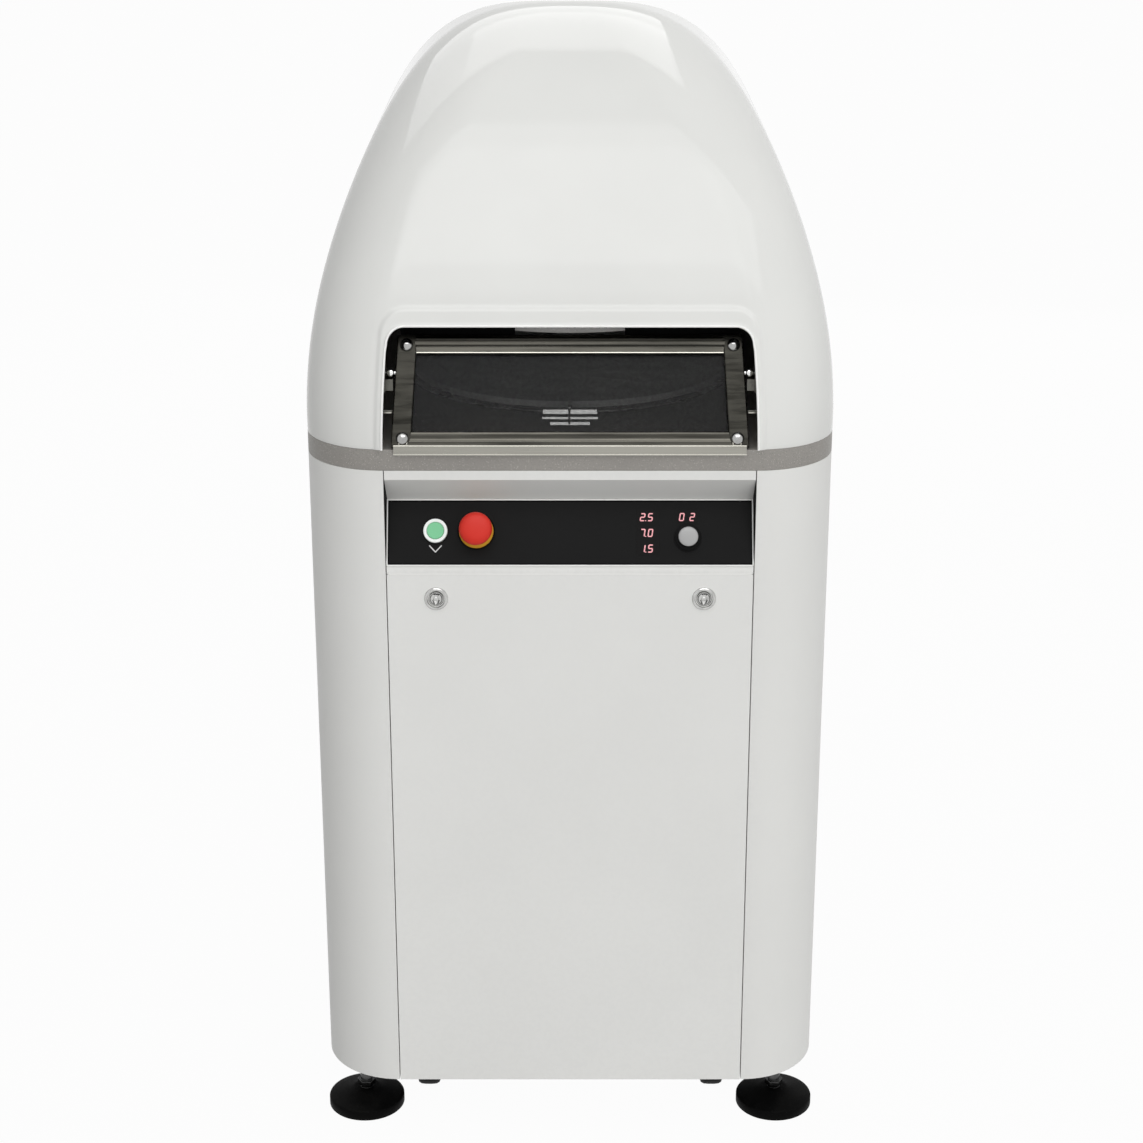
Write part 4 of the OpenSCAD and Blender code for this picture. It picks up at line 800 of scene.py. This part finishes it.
bm = bmesh.new()
screwProfile = [(0, 5.9), (1.8, 5.75), (3.8, 5.1), (5.6, 3.9), (6.9, 2.4), (7.7, 1.0), (7.8, 0.3), (7.3, 0),
                (3, 0), (3, -13), (0, -13)]
for side in (-1, 1):
    for x, up in ((198.2, 10.2), (194.4, 123.2)):
        spinProfile(bm, screwProfile, 40, onGuard(side * x, up))
addPiece(bm, "guardDomes", "guard", "guard_steel", "guard_chrome", replaces=("guard_screws",), sharp=50)
softenNode("guard_pane", "guardPane", 0.3)

pivot = {"y": 43.24, "z": 1021.4, "inner": 194, "ball": 213.4, "radius": 5.4, "end": 226}
centre, radius = pivot["ball"], pivot["radius"]
pinProfile = [(0, pivot["inner"]), (2.2, pivot["inner"]), (2.5, pivot["inner"] + 0.4), (2.5, centre - 4.8)]
pinProfile += [(radius * math.sin(math.radians(a)), centre - radius * math.cos(math.radians(a)))
               for a in range(48, 166, 9)]
pinProfile += [(1.3, centre + 5.25), (1.3, pivot["end"]), (0, pivot["end"])]
bm = bmesh.new()
for side in (-1, 1):
    spinProfile(bm, pinProfile, 48, axisMatrix((0, pivot["y"], pivot["z"]), (side, 0, 0)))
addPiece(bm, "guardPivots", nodes["guard_pins"]["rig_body"], slotOf["guard_pins"], "pin_bright",
         replaces=("guard_pins",))
print("guard done")


# control panel: border, chevron and figures

panel = {"half": 219.6, "low": 2.2, "high": 80.5, "line": 1.5, "out": 2.3, "gap": 1.3}
stopSpot, knobSpot = (-113, 43), (142, 35)  # across and up the panel

# a raised bead round the panel in the whiter paint: a painted highlight along the fascia's edge
bm = bmesh.new()
grow = panel["line"] / 2
stripRing(bm, panel["half"] + grow, panel["low"] - grow, panel["high"] + grow, panel["line"],
          onPanel(out=panel["out"] / 2), panel["out"])
addPiece(bm, "panelBead", "chassis", "cover_white", "highlight_white", bevel=0.4)
bm = copyNode("control_panel")
bmesh.ops.transform(bm, matrix=Matrix.Diagonal((219.4 / 218, 1, 1, 1)), verts=bm.verts)
addPiece(bm, "controlPlate", "chassis", slotOf["control_panel"], bevel=0.3, replaces=("control_panel",))
bm = bmesh.new()  # a dark strip inside the bead and a dark disc under the stop head: painted shade in the gap and the head's painted shadow
stripRing(bm, panel["half"] - 1, panel["low"] + 1, panel["high"] - 1, panel["gap"], onPanel(out=2.03), 0.16)
addDisc(bm, 22.6, 0.8, 72, onPanel(*stopSpot, 2.0), bevel=0.2)
addPiece(bm, "panelShadeMarks", "chassis", slotOf["control_panel"], "foot_rubber")
bm = bmesh.new()
strip(bm, [(-169, 25.1), (-162, 17.6), (-155, 25.1)], 1.25, onPanel(out=panel["out"] + 0.06))
addPiece(bm, "panelChevron", "chassis", "bezel_white", "print_white")

figures = {"tall": 8.5, "wide": 4.7, "bar": 1.35, "slant": 0.15}
segments = {"0": "abcdef", "1": "bc", "2": "abged", "5": "afgcd", "7": "abc"}


def figure(bm, character, x, up):
    tall, wide, bar = figures["tall"], figures["wide"], figures["bar"]
    gap = bar * 0.62
    lines = {"a": ((gap, tall), (wide - gap, tall)), "g": ((gap, tall / 2), (wide - gap, tall / 2)),
             "d": ((gap, 0), (wide - gap, 0)), "f": ((0, tall / 2 + gap), (0, tall - gap)),
             "b": ((wide, tall / 2 + gap), (wide, tall - gap)), "e": ((0, gap), (0, tall / 2 - gap)),
             "c": ((wide, gap), (wide, tall / 2 - gap))}
    matrix = onPanel(x, up, 2.58)
    if character == ".":
        strip(bm, [(wide + 1.6, 0), (wide + 1.9, 0)], bar * 0.8, matrix, 0.16)
        return
    for name in segments[character]:
        (x0, y0), (x1, y1) = lines[name]
        strip(bm, [(x0 + y0 * figures["slant"], y0), (x1 + y1 * figures["slant"], y1)], bar, matrix, 0.16)


bm = bmesh.new()
for text, x, up, pitch in (("25", 84.6, 55.7, 9.3), ("70", 84.6, 36.6, 9.3), ("15", 84.6, 17.6, 9.3),
                           ("02", 131.8, 55.9, 12.6)):
    for i, character in enumerate(text):
        figure(bm, character, x + i * pitch, up)
    if x < 100:
        figure(bm, ".", x, up)
addPiece(bm, "panelFigures", "chassis", "display_red", "display_glow")
softenNode("display_lens", "displayWindow", 0.15)

# a flush strip over the door seam in the whiter paint: a painted highlight along the seam
bm = bmesh.new()
extrudeProfile(bm, oblong(-0.1, 782.15, 8, 783.3), -219, 219, cabinet)
addPiece(bm, "fasciaDrip", "chassis", "cover_white", "highlight_white")
# black sheets at both ends of the panel recess: painted shade in the gaps beside the fascia
bm = bmesh.new()
bothSides(bm, oblong(1.2, 785, 38, 911), 221.15, 221.85, cabinet)
addPiece(bm, "recessShadeSheets", "chassis", "foot_rubber")


# stop head and knob

bm = bmesh.new()
headProfile = [(0, 34), (7, 33.7), (12.5, 32.9), (16.4, 31.4), (18.8, 29.2), (19.8, 26.8), (20, 24.2),
               (19.6, 22.6), (18.6, 21.6), (17.6, 21.6), (17.2, 22.4), (17.2, 28.4), (8.6, 28.4),
               (8.6, 20.7), (0, 20.7)]
spinProfile(bm, headProfile, 72, onPanel(*stopSpot))
addPiece(bm, "stopHead", "stop_head", "stop_red", replaces=("stop_button",), sharp=50)

bm = bmesh.new()
matrix = onPanel(*knobSpot)
# the grip's wide black foot, out to 15.9 mm, is a painted shadow of the knob on the panel
gripAndShadowProfile = [(0, 2.1), (15.9, 2.1), (16.4, 2.6), (16.3, 4.6), (15.0, 5.4), (12.2, 6.0), (12.1, 13.6),
               (12.0, 14.6), (11.6, 15), (0, 15)]
made = spinProfile(bm, gripAndShadowProfile, 96)
for vert in made:  # finger flutes round the grip
    rise, reach = vert.co.z / mm, math.hypot(vert.co.x, vert.co.y) / mm
    if 5.5 < rise < 14 and reach > 9:
        angle = math.atan2(vert.co.y, vert.co.x)
        push = 1 - 0.035 * (0.5 + 0.5 * math.cos(16 * angle))
        vert.co.x, vert.co.y = vert.co.x * push, vert.co.y * push
bmesh.ops.transform(bm, matrix=matrix, verts=bm.verts)
addPiece(bm, "knobGrip", "selector", "dark_plastic", "knob_black", replaces=("selector_knob",), sharp=50)
bm = bmesh.new()
spinProfile(bm, [(0, 17.0), (6, 16.85), (9.9, 16.35), (11.4, 15.7), (11.8, 15.05), (0, 15.02)], 64, matrix)
addPiece(bm, "knobDisc", "selector", "cap_grey", replaces=("knob_cap",), sharp=50)
print("controls done")


# door locks

lockPlace = {"x": 162, "z": 751}
for side, name in ((-1, "left"), (1, "right")):
    matrix = slopeMatrix(0, 0, 0, side * lockPlace["x"], lockPlace["z"])
    bm = bmesh.new()
    spinProfile(bm, [(7.3, -10), (7.3, 0.6), (7.7, 1.1), (8.3, 1.0), (8.7, 0.4), (8.9, -2.2), (10.2, -2.2),
                     (10.5, 0.8), (11.0, 2.0), (12.0, 2.5), (13.0, 2.3), (14.1, 1.3), (14.5, 0.3),
                     (14.5, 0.0), (11.4, 0.0), (11.4, -10)], 72, matrix, closed=True)
    addDisc(bm, 15, 3, 6, matrix @ Matrix.Translation((0, 0, -8 * mm)), bevel=0.5)
    addPiece(bm, name + "LockRing", "door", "lock_chrome", replaces=("lock_bodies",), sharp=35)
    bm = bmesh.new()
    plug = [(0, -22.2), (5.9, -22.2), (5.9, -12), (6.9, -11.4), (6.9, 0.9), (6.4, 1.4), (3.6, 1.6),
            (3.2, 1.2), (2.9, 0.6), (0, 0.6)]
    spinProfile(bm, plug, 56, matrix)
    start, end = sorted((-side * 40, side * 6))  # the cam
    extrudeProfile(bm, oblong(-6, -25.2, 6, -22.2), start, end, matrix)
    addPiece(bm, name + "LockPlug", name + "_lock", "lock_chrome", replaces=(name + "_lock_plug",), sharp=35)
    # a bright arc on the plug's upper rim is a painted highlight; a bright slot mark and a small dot go with
    # it
    bm = bmesh.new()
    arc = [(6.3 * math.cos(math.radians(a)), 6.3 * math.sin(math.radians(a))) for a in range(48, 121, 8)]
    strip(bm, arc, 1.2, matrix @ Matrix.Translation((0, 0, 1.5 * mm)), 0.4)
    strip(bm, [(0.0, -3.2), (-0.5, -6.2)], 1.2, matrix @ Matrix.Translation((0, 0, 1.7 * mm)), 0.4)
    addDisc(bm, 1.4, 0.6, 24, matrix @ Matrix.Translation((0, 2.2 * mm, 0.6 * mm)))
    addPiece(bm, name + "LockHighlights", name + "_lock", "lock_chrome", "pin_bright")
    bm = bmesh.new()
    strip(bm, [(-3.9, -1.5), (-2.4, -5.6)], 0.9, matrix @ Matrix.Translation((0, 0, 1.62 * mm)), 0.4)
    strip(bm, [(3.7, -1.8), (2.2, -5.2)], 1.2, matrix @ Matrix.Translation((0, 0, 1.62 * mm)), 0.4)
    addPiece(bm, name + "Keyhole", name + "_lock", "dark_plastic", "knob_black")


# levelling feet

for side, name in ((-1, "left"), (1, "right")):
    low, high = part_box(name + "_foot_pad")
    centre = (low + high) / 2
    matrix = Matrix.Translation((centre.x, centre.y, low.z))
    bm = bmesh.new()
    spinProfile(bm, [(0, 0), (49.2, 0), (50, 0.9), (50, 11.4), (49.3, 12.8), (46.8, 13.9), (38, 16.6),
                     (28, 19.6), (22, 21.6), (19, 22.9), (17, 23.7), (15.6, 24), (0, 24)], 96, matrix)
    addPiece(bm, name + "FootPad", name + "_foot", "foot_rubber", replaces=(name + "_foot_pad",), sharp=50)


# castor wheels

for name in ("front_left_wheel", "front_right_wheel", "rear_left_wheel", "rear_right_wheel"):
    low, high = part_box(name)
    turn = Vector((1, 0, 0)).to_track_quat("Z", "Y").to_matrix().to_4x4()
    matrix = Matrix.Translation((low + high) / 2) @ turn
    bm = bmesh.new()
    spinProfile(bm, [(27, -11), (30, -13.6), (34, -14.9), (37.4, -13.6), (39.4, -10), (40, -4), (40, 4),
                     (39.4, 10), (37.4, 13.6), (34, 14.9), (30, 13.6), (27, 11)], 64, matrix, closed=True)
    addPiece(bm, name + "Tyre", name, "wheel_rubber", sharp=50)
    bm = bmesh.new()
    spinProfile(bm, [(5, -14.5), (9, -14.5), (10, -12), (13, -8), (22, -8), (25, -10.6), (27.2, -10.6),
                     (27.2, 10.6), (25, 10.6), (22, 8), (13, 8), (10, 12), (9, 14.5),
                     (5, 14.5)], 48, matrix, closed=True)
    addPiece(bm, name + "Hub", name, "dark_plastic", replaces=(name,))


# stepped catch with a ball pin at the front of the rounding chamber

bm = bmesh.new()
for half, front, low, high in ((33, 104, 953.2, 957.8), (34, 96, 948.9, 951.2), (24, 88, 943.8, 946.9)):
    step = [(front, low), (front + (high - low) * 0.6, high), (front + 9, high), (front + 9, low)]
    extrudeProfile(bm, step, -half, half, cabinet)
pinProfile = [(0, 943.8), (1.5, 943.8), (1.5, 962.5), (2.3, 963.4), (2.6, 964.6), (2.3, 965.9), (1.3, 966.9),
              (0, 967.2)]
spinProfile(bm, pinProfile, 24, Matrix.Translation(place(-0.8, 90, 0)))
bmesh.ops.recalc_face_normals(bm, faces=bm.faces)
addPiece(bm, "frontCatch", "chassis", "zinc_steel", "pin_bright")


# inner parts that keep the CAD shape

for node, name in (("knife_grid", "knifeGrid"), ("press_stamps", "pressStamps"),
                   ("moulding_plate", "mouldingPlate"), ("drive_belt", "driveBelt"),
                   ("pressure_pipe", "oilPipe"), ("drive_motor", "driveMotor")):
    addPiece(copyNode(node), name, nodes[node]["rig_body"], slotOf[node], sharp=35, replaces=(node,))
print("inner parts done")


# pump motor fins and terminal box, tank lid, lid bolts and sight glass

low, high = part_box("hydraulic_pump")
tankLow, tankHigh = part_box("hydraulic_tank")
pump = {"fins": 30, "inner": 59, "outer": 65.5, "thick": 2.2, "low": 372, "high": 492, "behind": 0.068}
lid = {"top": 0.3316, "thick": 0.008, "over": 0.016}
axis = Vector(((low.x + high.x) / 2, low.y + pump["behind"], 0))
bm = bmesh.new()
size = ((pump["outer"] - pump["inner"]) * mm, pump["thick"] * mm, (pump["high"] - pump["low"]) * mm, 1)
lifted = Matrix.Translation(axis + Vector((0, 0, (pump["low"] + pump["high"]) / 2 * mm)))
reach = Matrix.Translation(((pump["inner"] + pump["outer"]) / 2 * mm, 0, 0))
for i in range(pump["fins"]):
    turn = Matrix.Rotation(2 * math.pi * i / pump["fins"], 4, "Z")
    bmesh.ops.create_cube(bm, size=1, matrix=lifted @ turn @ reach @ Matrix.Diagonal(size))
addBox(bm, axis + Vector((0, -0.078, 0.43)), (0.07, 0.044, 0.086))  # terminal box
addPiece(bm, "pumpFins", "chassis", slotOf["hydraulic_pump"], bevel=0.6)
bm = bmesh.new()
middle, spread = (tankLow + tankHigh) / 2, tankHigh - tankLow
addBox(bm, (middle.x, middle.y, lid["top"] - lid["thick"] / 2),
       (spread.x + lid["over"], spread.y + lid["over"], lid["thick"]))
addPiece(bm, "tankLid", "chassis", slotOf["hydraulic_tank"], bevel=1.2)
shares = [(u, v) for v in (0.03, 0.97) for u in (0.04, 0.5, 0.96)] + [(0.96, 0.5)]
lidBolts = [((tankLow.x + spread.x * u) / mm, (tankLow.y + spread.y * v - frontY) / mm, lid["top"] / mm)
            for u, v in shares]
boltRow("tankBolts", "chassis", lidBolts, (0, 0, 1), 5.0)
bm = bmesh.new()
gauge = Vector((middle.x + 0.045, tankLow.y, 0.235))
for rise in (-34, 34):
    spot = Matrix.Translation(gauge + Vector((0, 0, rise * mm)))
    addDisc(bm, 9, 8, 6, spot @ Matrix.Rotation(math.pi / 2, 4, "X"), bevel=0.5)
addDisc(bm, 7, 50, 24, Matrix.Translation(gauge + Vector((0, -0.009, -0.025))), bevel=0.8)
addPiece(bm, "tankGauge", "chassis", "zinc_steel", "head_alu")
print("hydraulic fittings done")


# dark strips inside the hood at both sides: painted shade in the gap above the guard; screws on the back

bm = bmesh.new()
bothSides(bm, oblong(92, 1048, 93.5, 1135), 66, 204, cabinet)
bmesh.ops.recalc_face_normals(bm, faces=bm.faces)
addPiece(bm, "hoodShadeStrips", "hood", "dark_plastic", "knob_black", bevel=0.3)
backScrews = [(side * 212, 700, z) for side in (-1, 1) for z in (104, 290, 476, 662, 848)]
backScrews += [(x, 700, z) for x in (-106, 0, 106) for z in (96, 898)]
boltRow("backScrews", "chassis", backScrews, (0, 1, 0), 5.0, socket=True)
print("shadeStrips and screws done")


# floor, light and camera

def pathMask(tree):
    path = addNode(tree, "ShaderNodeLightPath")
    seen = mathOf(tree, "MAXIMUM", path.outputs["Is Camera Ray"], path.outputs["Is Glossy Ray"])
    return mathOf(tree, "MAXIMUM", seen, path.outputs["Is Transmission Ray"])


studio = {"ambient": 0.62, "towardsFront": 0.50, "towardsRight": 0.35, "least": 0.10,
          "floor": (0.46, 0.46, 0.455, 1), "floorWhite": 0.965}
bm = bmesh.new()
bmesh.ops.create_grid(bm, x_segments=2, y_segments=2, size=80)
floorMesh = bpy.data.meshes.new("floor")
bm.to_mesh(floorMesh)
bm.free()
floor = bpy.data.objects.new("floor", floorMesh)
bpy.context.scene.collection.objects.link(floor)
floorFinish = bpy.data.materials.new("paleFloor")
floorFinish.use_nodes = True
tree = floorFinish.node_tree
tree.nodes.clear()
paint = addNode(tree, "ShaderNodeBsdfDiffuse", {"Color": studio["floor"]})
white = addNode(tree, "ShaderNodeEmission", {"Color": (1, 1, 1, 1), "Strength": 1.0})
share = mathOf(tree, "MULTIPLY", pathMask(tree), studio["floorWhite"])
mixed = addNode(tree, "ShaderNodeMixShader", {0: share, 1: paint.outputs[0], 2: white.outputs[0]})
addNode(tree, "ShaderNodeOutputMaterial", {"Surface": mixed.outputs[0]})
floorMesh.materials.append(floorFinish)

world = bpy.data.worlds.new("studio")  # soft room light, stronger from the front and the right
world.use_nodes = True
bpy.context.scene.world = world
tree = world.node_tree
tree.nodes.clear()
around = addNode(tree, "ShaderNodeTexCoord").outputs["Generated"]
way = addNode(tree, "ShaderNodeSeparateXYZ", {"Vector": around}).outputs
level = mathOf(tree, "ADD", mathOf(tree, "MULTIPLY", way[1], -studio["towardsFront"]), studio["ambient"])
level = mathOf(tree, "ADD", mathOf(tree, "MULTIPLY", way[0], studio["towardsRight"]), level)
level = mathOf(tree, "MAXIMUM", level, studio["least"])
ambient = addNode(tree, "ShaderNodeBackground", {"Color": (1, 1, 1, 1), "Strength": level})
backdrop = addNode(tree, "ShaderNodeBackground", {"Color": (1, 1, 1, 1), "Strength": 1.0})
shaders = {0: pathMask(tree), 1: ambient.outputs[0], 2: backdrop.outputs[0]}
mixed = addNode(tree, "ShaderNodeMixShader", shaders)
addNode(tree, "ShaderNodeOutputWorld", {"Surface": mixed.outputs[0]})


def addSoftbox(name, spot, aim, size, radiance, rays):
    lamp = bpy.data.lights.new(name, "AREA")
    lamp.shape = "RECTANGLE"
    lamp.size, lamp.size_y = size
    lamp.energy = radiance * math.pi * size[0] * size[1]
    holder = bpy.data.objects.new(name, lamp)
    bpy.context.scene.collection.objects.link(holder)
    holder.location = spot
    holder.visible_diffuse = rays != "gloss"
    holder.visible_glossy = rays != "diffuse"
    holder.rotation_euler = (Vector(aim) - Vector(spot)).to_track_quat("-Z", "Y").to_euler()


softboxes = {  # place, what it points at, size, radiance, and which rays see it
    "ceilingFront": ((0.0, -1.75, 2.9), (0, -1.2, 0), (1.7, 1.6), 1.35, "all"),
    "ceilingRear": ((0.0, 0.9, 3.0), (0, 0.4, 0), (1.6, 1.2), 1.1, "all"),
    "frontFill": ((0.9, -4.2, 1.1), (0, 0, 0.8), (2.2, 1.6), 3.0, "diffuse"),
    "frontGlint": ((0.32, -1.46, 2.9), (0.32, -1.41, 0), (2.62, 1.57), 2.0, "gloss"),
    "rearGlint": ((-0.4, 1.3, 2.9), (-0.4, 1.25, 0), (2.4, 2.2), 2.0, "gloss"),
    "rearFill": ((0.6, 4.2, 1.5), (0, 0, 0.8), (3.2, 2.4), 1.5, "diffuse"),
}
for name, setup in softboxes.items():
    addSoftbox(name, *setup)

view = {"lens": 75.72, "sensor": 36, "across": 1.8, "ahead": 2724.6, "height": 1768, "tilt": 70.18}
camera = bpy.data.objects.new("camera", bpy.data.cameras.new("camera"))
bpy.context.scene.collection.objects.link(camera)
camera.data.lens = view["lens"]
camera.data.sensor_width = view["sensor"]
camera.location = (view["across"] * mm, frontY - view["ahead"] * mm, view["height"] * mm)
camera.rotation_euler = (math.radians(view["tilt"]), 0, 0)
bpy.context.scene.camera = camera
bpy.context.scene.view_settings.view_transform = "Standard"
print("stage set")

bpy.context.view_layer.update()
